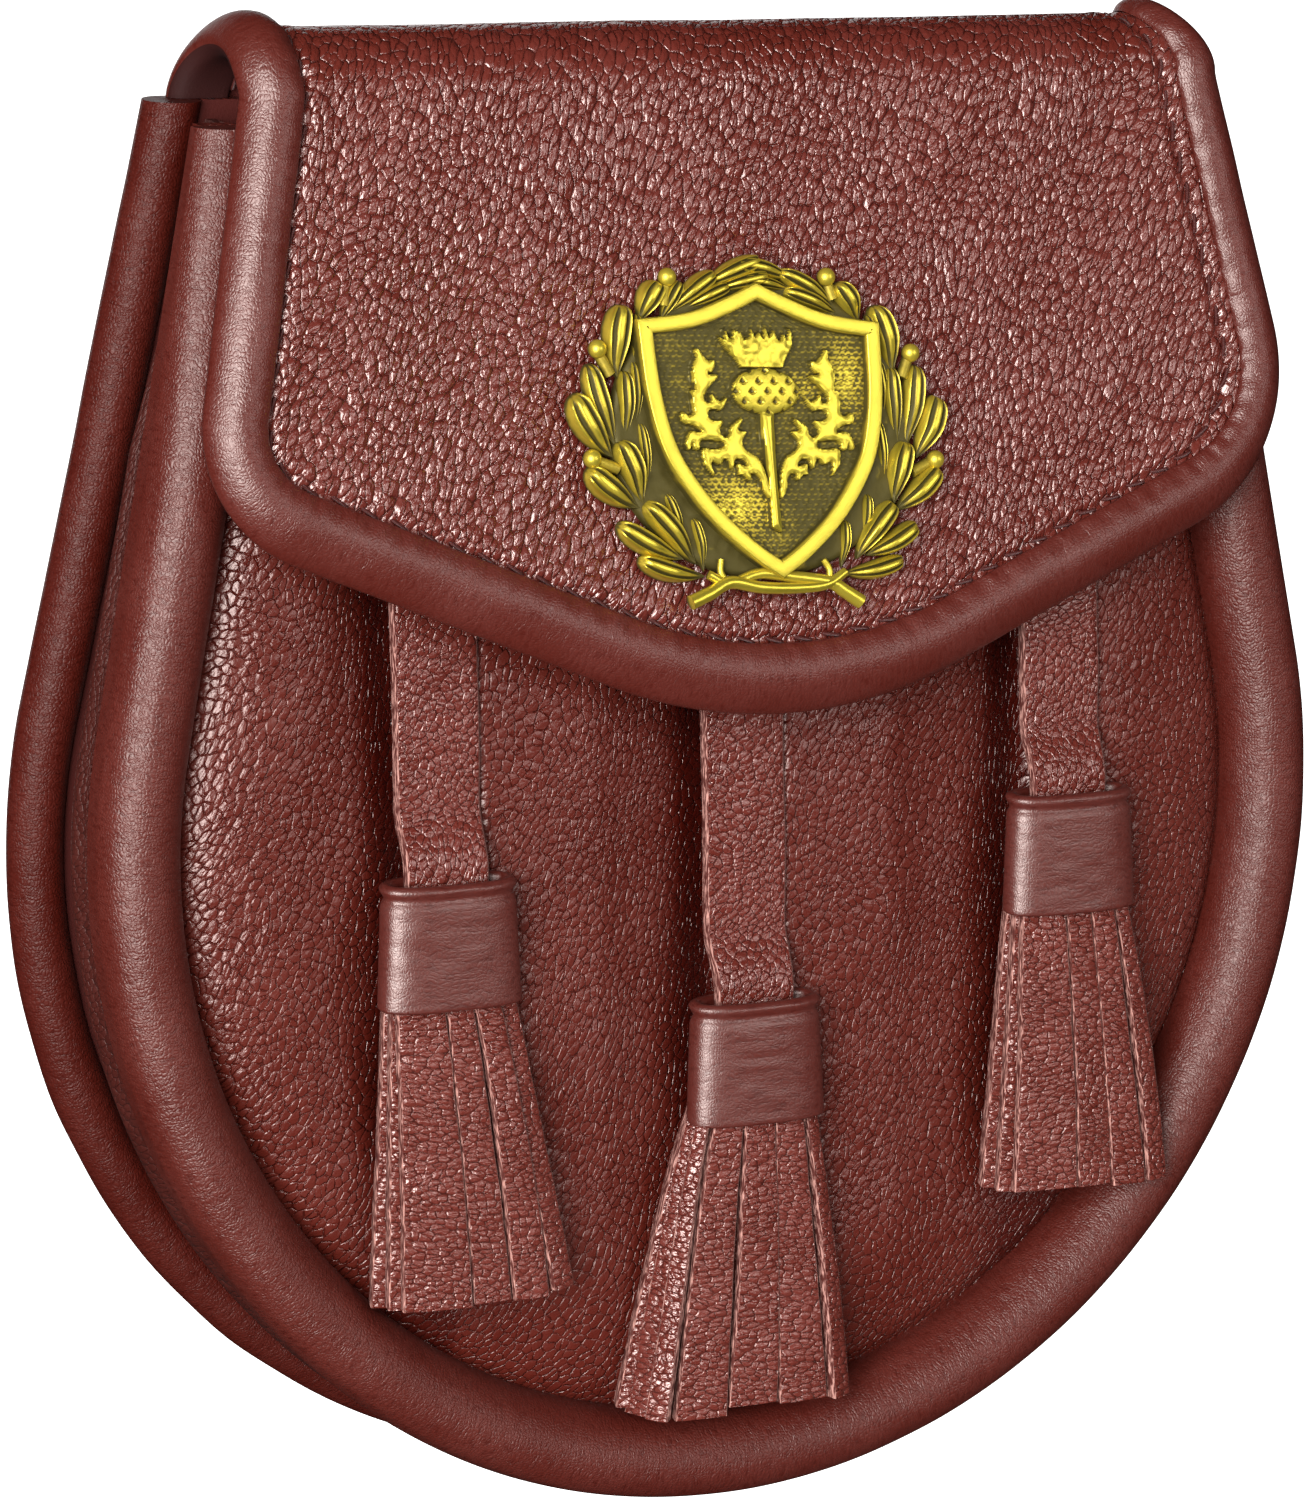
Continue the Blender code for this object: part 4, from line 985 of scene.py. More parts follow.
@dataclass
class FrontWall(SubAssembly):
    """The domed front panel and the thick rolled piping round it.

    A groove is a depth and a width; a step or a swell beside a strap is a range of distances from
    it, or a distance and a width.
    """

    thickness: float = 2.0
    rim: float = 1.2
    dome_rise: float = 5.3
    dome_reach: float = 20.0
    gap: float = 0.3
    groove_slow: "tuple[float, float]" = (4.3, 13.0)
    groove_fast: "tuple[float, float]" = (3.0, 5.0)
    groove_power: float = 1.6
    groove_under: float = 4.0
    groove_shift: float = -0.4
    groove_wander: float = 1.5
    groove_fade: "tuple[float, float]" = (136.0, 156.0)
    bulge: float = 0.9
    step: float = 1.5
    step_start: "tuple[float, float]" = (5.4, 7.6)
    step_end: "tuple[float, float]" = (12.0, 30.0)
    swell_right: "tuple[float, float]" = (22.0, 8.0)
    swell_left: "tuple[float, float]" = (-24.0, 6.0)
    most_swell: float = 1.3
    dents: float = 0.35
    piping_width: float = 11.5
    piping_depth: float = 8.4
    piping_top_depth: float = 4.6
    piping_steps: int = 6
    unevenness: float = 0.14

    def away_from(self, place: TasselPlace, x: Array, height: Array) -> Array:
        """How far right of a strap's wandering groove."""
        return x + self.groove_wander * SoftNoise(71, 40.0).at(x, height) - place.x - self.groove_shift

    def dips(self, x: Array, height: Array) -> Array:
        """Depth of the grooves beside the straps: slow on the left side, fast under the strap.

        Args:
            x: Across.
            height: Height.

        Returns:
            The depth, as a share of the deepest.
        """
        total = self.groove_slow[0] + self.groove_fast[0]
        dips = np.zeros_like(x)
        for place in TASSEL_PLACES:
            away = self.away_from(place, x, height)
            left = sum(deep / total * np.exp(-(np.abs(away / wide) ** self.groove_power))
                       for deep, wide in (self.groove_slow, self.groove_fast))
            dips = dips + np.where(away < 0, left, bump_of(away, 0.0, self.groove_under))
        return dips * (1.0 - smooth_step(*self.groove_fade, height))

    def surface(self, x: Array, height: Array) -> Array:
        """Depth of the visible face.

        A flat rim, then a quarter-round shoulder up to a level top. Left of each strap the leather
        dips in a groove, and it swells a little further away on both sides.

        Args:
            x: Across.
            height: Height.

        Returns:
            Depth at each place.
        """
        inside = np.maximum(self.form.inset_of(x, height) - self.piping_width - self.gap, 0.0)
        share = np.minimum(inside / self.dome_reach, 1.0)
        rise = np.sqrt(1.0 - (1.0 - share) ** 2)
        swells = np.zeros_like(x)
        for place in TASSEL_PLACES:
            away = self.away_from(place, x, height)
            beside = smooth_step(*self.step_start, away + self.groove_shift)
            beside = self.step * beside * (1.0 - smooth_step(*self.step_end, away))
            swells = swells + beside + bump_of(away, *self.swell_right)
            if place.side == "left":
                swells = swells + bump_of(away, *self.swell_left)
        total = self.groove_slow[0] + self.groove_fast[0]
        deep = total * (1.0 + 0.2 * SoftNoise(72, 30.0).at(x, height)) * self.dips(x, height)
        soft = self.bulge * np.clip(swells, 0.0, self.most_swell)
        soft = soft + self.dents * SoftNoise(73, 16.0).at(x, height)
        soft = soft * (1.0 - smooth_step(*self.groove_fade, height))
        return (self.form.front_plane(height) + self.gap - self.dome_rise * rise
                + share * smooth_step(0.0, 1.0, share) * (deep - soft))

    def panel(self) -> None:
        """The domed leather, two faces and its rim; its grooves are marked for the finish to paint shade in.
        """
        outline = self.form.outline(self.form.front_radius, self.form.front_top)
        x, height = RoundPanel().places(outline, self.rim)
        depth = self.surface(x, height)
        # The groove depth is kept as the mark recess, where the front finish paints shade
        maker = MeshMaker("recess")
        maker.add_round_sheet(joined(x, depth, height), joined(x, depth + self.thickness, height),
                              joined(x, height), self.dips(x, height))
        self.deliver(maker, "front_panel_leather", Slot.GRAINED, [Look.FRONT, Look.INNER], "front_panel")

    def piping(self) -> None:
        """A flat outer flank and a rounded face, carried round the front."""
        section = np.array((
            # across and depth, as shares
            (0.00, 0.00), (0.00, 0.24), (0.015, 0.46), (0.11, 0.76), (0.32, 0.97),
            (0.56, 1.00), (0.78, 0.86), (0.94, 0.58), (1.00, 0.30), (1.00, 0.00),
        ))
        curve = smooth_curve(section, self.piping_steps)
        curve = np.concatenate([curve, curve[:1]])
        outline = self.form.outline(self.form.front_radius, self.form.front_top)
        along = outline.along[:, None]
        around = lengths(curve * (self.piping_width, self.piping_depth))
        swell = self.unevenness * SoftNoise(12, 8.0).at(along, around[None] * 0.6)
        x, height = outline.inside(curve[:, 0] * self.piping_width)
        taper = self.form.taper_share(height)
        deep = self.piping_depth + (self.piping_top_depth - self.piping_depth) * taper
        depth = self.form.front_plane(height) - curve[:, 1] * (deep + swell)
        maker = MeshMaker()
        maker.add_tube(joined(x, depth, height), joined(along, around))
        self.deliver(maker, "front_piping_roll", Slot.SMOOTH, [Look.FRONT_ROLL], "front_piping", sharp=50.0)


# ---------------------------------------------------------------- flap


@dataclass(frozen=True)
class FlapForm:
    """The unrolled flap: a tail behind the back, an arch over the top and a flat leaning face.

    Corners and pinches are for the left and the right side.
    """

    thickness: float = 2.4
    tail: float = 16.0
    tail_half_width: float = 68.0
    arch_y: float = -6.8
    arch_height: float = 188.7
    arch_radius: float = 9.5
    lean: float = math.atan(0.245)
    centre_x: float = 1.3
    back_half_width: float = 76.3
    shoulder_half_width: float = 72.6
    side_lean: float = math.radians(11.3)
    v_slope: float = math.radians(22.7)
    tip_radius: float = 68.0
    drop: float = 83.0
    corners: "tuple[float, float]" = (18.0, 24.0)
    pinches: "tuple[float, float]" = (1.2, 5.0)
    arc_steps: int = 40
    tip_steps: int = 30
    spacing: float = 0.85

    @property
    def arch_length(self) -> float:
        """Length of the leather over the arch."""
        return self.arch_radius * (math.pi - self.lean)

    def point(self, x: Array, along: Array, height: Array) -> Array:
        """Points in space of places on the unrolled flap.

        The tail is straight, the arch turns with the length over its radius, and the face runs on
        straight at the lean.

        Args:
            x: Across, from the flap's own middle.
            along: Length from the tail's end.
            height: Height over the leather's outer face.

        Returns:
            Points with 3 numbers each.
        """
        x, along, height = np.broadcast_arrays(x, along, height)
        radius = self.arch_radius + height
        turn = np.clip((along - self.tail) / self.arch_radius, 0.0, math.pi - self.lean)
        beyond = np.maximum(along - self.tail - self.arch_length, 0.0)
        before = np.minimum(along - self.tail, 0.0)
        depth = self.arch_y + radius * np.cos(turn) - beyond * math.sin(self.lean)
        rise = self.arch_height + radius * np.sin(turn) - beyond * math.cos(self.lean) + before
        return joined(x + self.centre_x, depth, rise)

    def along_of(self, height: float) -> float:
        """Length along the unrolled flap of a height on its face."""
        start = self.arch_height + self.arch_radius * math.sin(math.pi - self.lean)
        return self.tail + self.arch_length + (start - height) / math.cos(self.lean)

    def edge(self, side: Side) -> Array:
        """Half of the flap's edge, from behind the top to the tip, as (count, 2) of across and along.

        The crest is pinched in by the binding: its half width loses the squared sine of the way over
        it. Straight side, corner arc, straight V and tip arc follow.

        Args:
            side: Which half.

        Returns:
            Points with across counted from the middle outwards.
        """
        corner_radius, pinch = self.corners[side is Side.RIGHT], self.pinches[side is Side.RIGHT]
        face = self.tail + self.arch_length
        tip = face + self.drop
        share = np.linspace(0.0, 1.0, self.arc_steps)
        half = self.back_half_width + (self.shoulder_half_width - self.back_half_width) * share
        half = half - pinch * np.sin(math.pi * share) ** 2
        arch = joined(half, self.tail + self.arch_length * share)
        slope, spread = math.tan(self.v_slope), math.tan(self.side_lean)
        v_foot = tip + self.tip_radius * (1.0 / math.cos(self.v_slope) - 1.0)
        corner_x = (self.shoulder_half_width + spread * (v_foot - face)) / (1.0 + spread * slope)
        corner = np.array([corner_x, v_foot - slope * corner_x])
        turn = math.pi / 2 + self.side_lean - self.v_slope
        down = np.array([math.sin(self.side_lean), math.cos(self.side_lean)])
        start = corner - corner_radius * math.tan(turn / 2) * down
        centre = start - corner_radius * down[::-1] * (1.0, -1.0)
        angle = -self.side_lean + turn * share
        bend = centre + corner_radius * joined(np.cos(angle), np.sin(angle))
        angle = self.v_slope * np.linspace(1.0, 0.0, self.tip_steps)
        nose = self.tip_radius * joined(np.sin(angle), np.cos(angle)) + (0.0, tip - self.tip_radius)
        return spaced(np.concatenate([arch, bend, nose]), self.spacing)

    def level_over_arch(self, edge: Array, out: Array) -> Array:
        """Turn the edge's outward ways straight across where the edge runs over the arch.

        Args:
            edge: Places (count, 2) of the edge.
            out: Its outward ways.

        Returns:
            The turned ways.
        """
        end = self.tail + self.arch_length
        over = smooth_step(end + 4.0, end - 2.0, edge[:, 1:])
        return out * (1 - over) + joined(np.sign(edge[:, 0]), 0.0) * over

    def whole_edge(self) -> "tuple[Array, Array]":
        """The whole edge from the left back over the tip to the right back, and its outward ways.

        Returns:
            Points and unit ways, each (count, 2).
        """
        left, right = self.edge(Side.LEFT), self.edge(Side.RIGHT)
        edge = np.concatenate([left * (-1.0, 1.0), right[-2::-1]])
        out = self.level_over_arch(edge, -normals_of(edge))
        window = np.hanning(9)
        return edge, unit(joined(*(np.convolve(np.pad(column, 4, "edge"), window / window.sum(), "valid")
                                   for column in out.T)))


@dataclass
class StitchLine:
    """A row of stitches: short threads that rise from one hole and sink into the next."""

    pitch: float = 4.3
    length: float = 3.2
    radius: float = 0.27
    rise: float = 0.22
    sink: float = 0.25
    slant: float = 0.12
    rings: int = 9
    sides: int = 7

    def add(self, maker: MeshMaker, path: Array, across: Array, normal: Array) -> None:
        """Add stitches along a path.

        Each thread is a tube whose middle line is a low arch, with round ends.

        Args:
            maker: Gathers the mesh.
            path: Points of the row (count, 3).
            across: Unit ways across the row, on the leather.
            normal: Unit ways out of the leather.
        """
        along = lengths(path)
        count = max(1, int(along[-1] / self.pitch))
        share = np.linspace(-1.0, 1.0, self.rings)
        places = ((np.arange(count) + 0.5) * along[-1] / count)[:, None] + share * self.length / 2
        line, across, normal = (read_along(values, along, places) for values in (path, across, normal))
        arch = self.rise * (1.0 - share**2) - self.sink * share**8
        line = line + normal * arch[:, None] + across * (self.slant * self.length * share)[:, None]
        width = self.radius * np.sqrt(np.clip(1.0 - share**6, 0.0, 1.0))
        turn = np.linspace(0.0, 2 * math.pi, self.sides + 1)[:, None]
        ring = across[..., None, :] * np.cos(turn) + normal[..., None, :] * np.sin(turn)
        points = line[..., None, :] + ring * width[:, None, None]
        maker.add_tube(points, joined(places[..., None], self.radius * turn[:, 0]))

    def add_box(self, maker: MeshMaker, box: "tuple[float, float, float]", place: Array,
                way_up: int = 1) -> None:
        """Add stitches round a flat box on the back.

        Args:
            maker: Gathers the mesh.
            box: Half its width, and its lower and upper edge.
            place: The point that the box's numbers count from.
            way_up: 1, or -1 for a box that stands on its head.
        """
        half, low, high = box
        corners = np.array(((-half, low), (half, low), (half, high), (-half, high), (-half, low)))
        for start, end in zip(corners, corners[1:]):
            line = spaced(np.array([start, end]), 1.0)
            path = place + joined(line[:, 0], 0.0, way_up * line[:, 1])
            way = unit(end - start)
            across = np.broadcast_to((way[1], 0.0, -way_up * way[0]), path.shape)
            self.add(maker, path, across, np.broadcast_to((0.0, 1.0, 0.0), path.shape))


@dataclass
class Flap(SubAssembly):
    """The flap's leather, the binding folded round its edge, and their stitches."""

    gap: float = 0.3
    slot_inset: float = 4.7
    tail_clearance: float = 0.6
    tail_rows: int = 10
    binding_width: float = 9.3
    side_narrowing: float = 0.15
    right_narrowing: float = 0.22
    stitch_beside: "tuple[float, float]" = (0.40, 2.2)
    stitch_height: float = -0.34
    reach_down: float = 0.24
    columns: int = 150
    pitch: float = 4.3
    channel: float = 0.55
    channel_width: float = 0.6
    channel_lip: float = 0.16
    pucker: float = 0.34
    pucker_reach: "tuple[float, float]" = (5.6, 9.0)
    notch: float = 0.26
    notch_width: float = 0.5
    notch_reach: "tuple[float, float]" = (4.6, 8.4)
    notch_side: "tuple[float, float]" = (10.0, 60.0)
    back_row: "tuple[float, float]" = (7.6, -4.02)
    box_margins: "tuple[float, float, float]" = (4.0, 3.5, 4.0)
    unevenness: float = 0.10

    def narrowing(self, out: Array) -> Array:
        """The binding is narrower along the flap's sides, and more so on the right."""
        share = np.where(out[:, :1] > 0, self.right_narrowing, self.side_narrowing)
        return 1.0 - share * out[:, :1] ** 2

    def leather(self) -> None:
        """The sheet: rows run from the left edge to the right, closer together near both edges.

        Its face dips into a channel under the stitches and is a little uneven.
        """
        form, rows = self.form, []
        for side in Side:
            edge = form.edge(side) * (side.value, 1.0)
            out = normals_of(edge)
            out = form.level_over_arch(edge, out * np.sign(out[:, :1] * side.value + 1e-9))
            rows.append((lengths(edge), edge - (self.slot_inset + self.gap) * out))
        shares = np.linspace(0.0, 1.0, max(len(row) for _, row in rows))
        left, right = (read_along(row, along / along[-1], shares) for along, row in rows)
        left[-1] = right[-1] = (left[-1] + right[-1]) / 2 * (0.0, 1.0)
        tail = np.linspace(0.0, form.tail - self.tail_clearance, self.tail_rows)
        tail = joined(form.tail_half_width, tail)
        left, right = np.concatenate([tail * (-1.0, 1.0), left]), np.concatenate([tail, right])
        spread = ((1.0 - np.cos(np.linspace(0.0, math.pi, self.columns))) / 2)[:, None]
        place = left[:, None] * (1.0 - spread) + right[:, None] * spread
        x, along = place[..., 0], place[..., 1]
        away = self.from_stitches(x, along)
        relief = -self.channel * bump_of(away, 0.0, self.channel_width)
        relief = relief + self.channel_lip * bump_of(away, 1.9, 1.0)
        face = smooth_step(form.tail + form.arch_length * 0.2, form.tail + form.arch_length * 0.5, along)
        soft = self.unevenness * SoftNoise(41, 14.0).at(x, along)
        maker = MeshMaker()
        maker.add_sheet(form.point(x, along, relief * face + soft), form.point(x, along, -form.thickness),
                        joined(x, -along))
        self.deliver(maker, "flap_leather", Slot.GRAINED, [Look.FLAP, Look.INNER], "flap")

    def stitch_row(self, edge: Array, out: Array) -> Array:
        """The row of stitches on the face: beside the binding, and further in on the right.

        Args:
            edge: Places (count, 2) of the flap's edge.
            out: Its outward ways.

        Returns:
            Places of the row.
        """
        near, far = self.stitch_beside
        beside = near + (far - near) * smooth_step(0.35, 0.85, out[:, :1])
        return edge - (self.binding_width * self.narrowing(out) + beside) * out

    def from_stitches(self, x: Array, along: Array) -> Array:
        """Distance from the nearest point of the stitches' row.

        Args:
            x: Across, on the unrolled flap.
            along: Length from the tail's end.

        Returns:
            The distance of each place.
        """
        row = self.stitch_row(*self.form.whole_edge())
        places = joined(x.ravel(), along.ravel())
        nearest = np.full(len(places), np.inf)
        for some in np.array_split(row, 16):
            nearest = np.minimum(nearest, np.linalg.norm(places[:, None] - some[None], axis=2).min(axis=1))
        return nearest.reshape(x.shape)

    def binding(self) -> None:
        """The folded binding: its section is carried round the edge.

        Between two stitches its inner edge swells, and at each stitch it is drawn down, with a short
        fold that runs outwards from the stitch.
        """
        width = self.binding_width
        outside = np.array((
            # inset and height
            (width, 0.30), (9.20, 0.85), (8.60, 1.42), (7.20, 1.96), (5.50, 2.12), (3.90, 1.82),
            (2.40, 1.10), (1.10, 0.10), (0.30, -0.90), (0.00, -1.90), (0.40, -2.90), (1.70, -3.80),
            (4.60, -4.05), (8.60, -3.95), (9.28, -3.40), (width, -2.70),
        ))
        slot = np.array(((self.slot_inset, -2.7), (self.slot_inset, 0.3), (width, 0.3)))
        curve = np.concatenate([smooth_curve(outside, 4), slot])
        edge, out = self.form.whole_edge()
        edge[[0, -1], 1] -= self.reach_down
        along, around = lengths(edge)[:, None], lengths(curve)[None]
        inset = curve[None, :, 0] * self.narrowing(out)
        height = np.broadcast_to(curve[None, :, 1], inset.shape)
        on_top = smooth_step(0.4, 1.2, height)
        inner_edge = smooth_step(*self.pucker_reach, curve[None, :, 0]) * on_top
        count = max(1, int(along[-1, 0] / self.pitch))
        stitch = along / along[-1] * count
        number = np.floor(stitch).astype(int)
        away = (stitch - number - 0.5) * self.pitch
        chance = np.random.default_rng(23).uniform(0.35, 1.0, count + 2)[number]
        drawn = self.pucker * (0.5 + 0.5 * np.cos(2 * math.pi * away / self.pitch + math.pi)) * chance
        right = 0.35 + 0.65 * smooth_step(*self.notch_side, edge[:, :1])
        fold = self.notch * chance**2 * bump_of(np.abs(away), self.pitch / 2, self.notch_width) * right
        reach = smooth_step(*self.notch_reach, curve[None, :, 0]) * on_top
        soft = self.unevenness * SoftNoise(43, 7.0).at(along, around)
        soft = soft * smooth_step(0.0, 1.0, np.abs(height + 1.2))
        height = height - drawn * inner_edge - fold * reach + soft
        place = edge[:, None] - inset[..., None] * out[:, None]
        maker = MeshMaker()
        under = (curve[1:, 1] < -self.form.thickness).astype(int)
        maker.add_tube(self.form.point(place[..., 0], place[..., 1], height), joined(along, around), under)
        self.deliver(maker, "flap_binding_roll", Slot.SMOOTH, [Look.BINDING, Look.SHADED], "flap_binding")

    def stitches(self) -> None:
        """One row on the face beside the binding, and one row on the binding's back."""
        edge, out = self.form.whole_edge()
        maker = MeshMaker()
        rows = (
            # places, height, way out
            (self.stitch_row(edge, out), self.stitch_height, 1.0),
            (edge - self.back_row[0] * out, self.back_row[1], -1.0),
        )
        for place, height, way in rows:
            beside = place + 0.1 * out
            path = self.form.point(place[:, 0], place[:, 1], height)
            across = unit(self.form.point(beside[:, 0], beside[:, 1], height) - path)
            normal = unit(self.form.point(place[:, 0], place[:, 1], height + way) - path)
            StitchLine(self.pitch).add(maker, path, across, normal)
        self.deliver(maker, "flap_stitches", Slot.SMOOTH, [Look.THREAD])

    def tail_stitches(self) -> None:
        """A box of stitches that holds the tail to the back."""
        maker = MeshMaker()
        side, low, high = self.box_margins
        box = self.form.tail_half_width - side, low, self.form.tail - high
        StitchLine().add_box(maker, box, self.form.point(0.0, 0.0, 0.02))
        self.deliver(maker, "tail_stitches", Slot.SMOOTH, [Look.THREAD])


# ---------------------------------------------------------------- strips of leather


@dataclass(frozen=True)
class Strip:
    """A flat strip with softly rounded long edges, carried along a line."""

    thickness: float
    rounding: float = 0.35
    columns: int = 7
    grain_finish: int = 0
    cut_finish: int = 1
    back_finish: int = 2

    def section(self) -> "tuple[Array, Array, Array, Array]":
        """The section as shares: across from -1 to 1, a shift for the rounding, thick, and finish.

        Returns:
            Across, inward shift in millimetres, thickness share from 0 to 1, and a finish for each
            column of faces.
        """
        flat, rim = np.linspace(-1.0, 1.0, self.columns), np.zeros(self.columns)
        rim[[0, -1]] = self.rounding
        corner = self.rounding * (1.0 - math.sqrt(0.5))
        edge_shift = np.array([corner, 0.0, 0.0, 0.0, corner])
        edge_thick = np.array([self.thickness - corner, self.thickness - self.rounding, self.thickness / 2,
                               self.rounding, corner]) / self.thickness
        across = np.concatenate([flat, np.ones(5), flat[::-1], -np.ones(5), flat[:1]])
        shift = np.concatenate([rim, edge_shift, rim, edge_shift, rim[:1]])
        full, none = np.ones(self.columns), np.zeros(self.columns)
        thick = np.concatenate([full, edge_thick, none, edge_thick[::-1], full[:1]])
        finish = np.repeat((self.grain_finish, self.cut_finish, self.back_finish, self.cut_finish),
                           (self.columns - 1, 6, self.columns - 1, 6))
        return across, shift, thick, finish

    def add(self, maker: MeshMaker, path: Array, across: Array, normal: Array, width: "float | Array",
            place: "tuple[float, float]" = (0.0, 0.0), crown: float = 0.0) -> None:
        """Carry the section along a line.

        Args:
            maker: Gathers the mesh.
            path: Middle of the strip's back (count, 3).
            across: Unit ways across the strip.
            normal: Unit ways out of its grained face.
            width: Width, for all or for each place.
            place: Where on the hide the strip was cut.
            crown: How far the middle of the face stands up.
        """
        share, shift, thick, finish = self.section()
        half = np.broadcast_to(width, len(path))[:, None] / 2
        aside = share * half - np.sign(share) * shift
        up = thick * self.thickness + crown * (1.0 - share**2)
        points = path[:, None] + aside[..., None] * across[:, None] + up[..., None] * normal[:, None]
        around = aside + np.where(np.abs(share) == 1.0, np.sign(share) * (1.0 - thick) * self.thickness, 0.0)
        uv = joined(place[0] + around, place[1] - lengths(path)[:, None])
        on_cut = np.concatenate([finish[:1], finish]) == self.cut_finish
        maker.add_tube(points, np.where(on_cut[None, :, None], uv[..., ::-1], uv), finish)


@dataclass(frozen=True)
class LocksRow:
    """One row of a tassel's cut strips."""

    strips: tuple
    depth_top: float
    depth_bottom: float
    shift: float


@dataclass
class Tassel(SubAssembly):
    """A strap, the collar on its end and the cut strips below."""

    place: TasselPlace
    seed: int
    dome_rise: float = 5.3
    strap_width: float = 12.2
    strap_thickness: float = 1.6
    strap_top: float = 146.0
    ramp_start: float = 1.0
    ramp_end: float = 9.0
    strap_waves: "tuple[float, float, float]" = (0.12, 0.25, 0.16)
    strap_crown: float = 0.12
    collar_height: float = 16.5
    collar_top_width: float = 18.6
    collar_bottom_width: float = 20.2
    collar_depth: float = 7.2
    collar_wall: float = 1.4
    collar_power: float = 2.7
    lower_lip: float = 0.6
    waist: "tuple[float, float, float]" = (0.42, 0.115, 0.035)
    flare: "tuple[float, float, float]" = (0.20, 0.04, 0.04)
    head_share: float = 0.6
    clearance: float = 0.3
    strips_start: float = 3.0
    strip_thickness: float = 1.45
    strip_gap: float = 0.16
    behind_thicker: float = 0.7
    row_margins: "tuple[float, float]" = (2.0, 1.0)
    bow_power: float = 0.86
    side_bow: float = 0.35
    front_bow: "tuple[float, float]" = (0.1, 0.4)
    cut_ends: "tuple[float, float]" = (-0.35, 0.9)
    turn_play: float = 0.06

    def on_front(self, x: Array, height: Array, depth: Array) -> Array:
        """Points this far in front of the dome's level top."""
        return joined(x, self.form.front_plane(height) - self.dome_rise - depth, height)

    def strap(self) -> None:
        """The strap lies on the dome and steps out over a soft ramp into the collar."""
        top = self.place.collar_top
        low = top - self.collar_height * (1.0 - self.head_share) + self.clearance
        lift, sway, swell = self.strap_waves
        height = np.linspace(self.strap_top, low, 90)
        ramp = smooth_step(top + self.ramp_end, top + self.ramp_start, height)
        wave = lift * SoftNoise(61 + self.seed, 9.0).at(height, 0.0) * (1.0 - ramp)
        near = (self.collar_depth - self.strap_thickness) / 2 * ramp + np.maximum(wave, 0.0)
        middle = self.place.x + sway * SoftNoise(64 + self.seed, 18.0).at(height, 0.0)
        path = self.on_front(middle, height, near)
        across = np.broadcast_to((1.0, 0.0, 0.0), path.shape)
        normal = unit(np.cross(across, np.gradient(path, axis=0)))
        normal *= -np.sign(normal[:, 1:2])
        width = self.strap_width - 0.5 * ramp + swell * SoftNoise(67 + self.seed, 5.0).at(height, 0.0)
        maker = MeshMaker()
        strip = Strip(self.strap_thickness, columns=11)
        strip.add(maker, path, across, normal, width, (31.0 + 40.0 * self.seed, 12.0), self.strap_crown)
        side = self.place.side
        self.deliver(maker, f"strap_{side}_leather", Slot.GRAINED, [Look.STRAP, Look.CUT, Look.INNER],
                     f"strap_{side}", sharp=55.0)

    def collar(self) -> None:
        """A tube of smooth leather with rounded lips: a rounded rectangle that widens downwards.

        The wall's section goes up the outside, round the upper lip, down the inside and round the
        lower lip. The collar is drawn in a little below its upper lip. The rectangle's corners come
        from a power of the cosine and the sine.
        """
        lip, low_lip = self.collar_wall / 2, self.collar_wall / 2 * self.lower_lip
        turn = np.linspace(0.0, math.pi, 9)
        top, bottom = self.place.collar_top, self.place.collar_top - self.collar_height
        rise = np.linspace(bottom + low_lip, top - lip, 40)[:-1]
        fall = np.linspace(top - lip, bottom + low_lip, 10)[1:-1]
        height = np.concatenate([rise, top - lip * (1 - np.sin(turn)), fall,
                                 bottom + low_lip * (1 - np.sin(turn))])
        inset = np.concatenate([0.0 * rise, lip * (1 - np.cos(turn)), np.full(len(fall), 2 * lip),
                                lip * (1 + np.cos(turn))])
        share = (top - height) / self.collar_height
        drawn = self.waist[0] * bump_of(share, *self.waist[1:])
        drawn = drawn - self.flare[0] * bump_of(share, *self.flare[1:])
        inset = inset + drawn * (inset < lip)
        wide = self.collar_top_width + (self.collar_bottom_width - self.collar_top_width) * share
        around = np.linspace(0.0, 2 * math.pi, 97)
        power = 2.0 / self.collar_power
        cosine, sine = np.cos(around), np.sin(around)
        across = (wide / 2 - inset)[:, None] * np.sign(cosine) * np.abs(cosine) ** power
        deep = (self.collar_depth / 2 - inset)[:, None] * np.sign(sine) * np.abs(sine) ** power
        ruffle = 0.0175 * SoftNoise(81 + self.seed, 1.6).at(5.0 * cosine[None] + 9.0, height[:, None] * 1.5)
        deep = self.collar_depth / 2 + deep * (1.0 + ruffle)
        points = self.on_front(self.place.x + across, height[:, None], deep)
        along = lengths(joined(height, inset))
        along = np.append(along, along[-1] + 0.1)[:, None]
        maker = MeshMaker()
        maker.add(np.concatenate([points, points[:1]]),
                  joined(50.0 * self.seed - along, self.collar_depth * around))
        side = self.place.side
        self.deliver(maker, f"collar_{side}_leather", Slot.SMOOTH, [Look.COLLAR], f"collar_{side}")

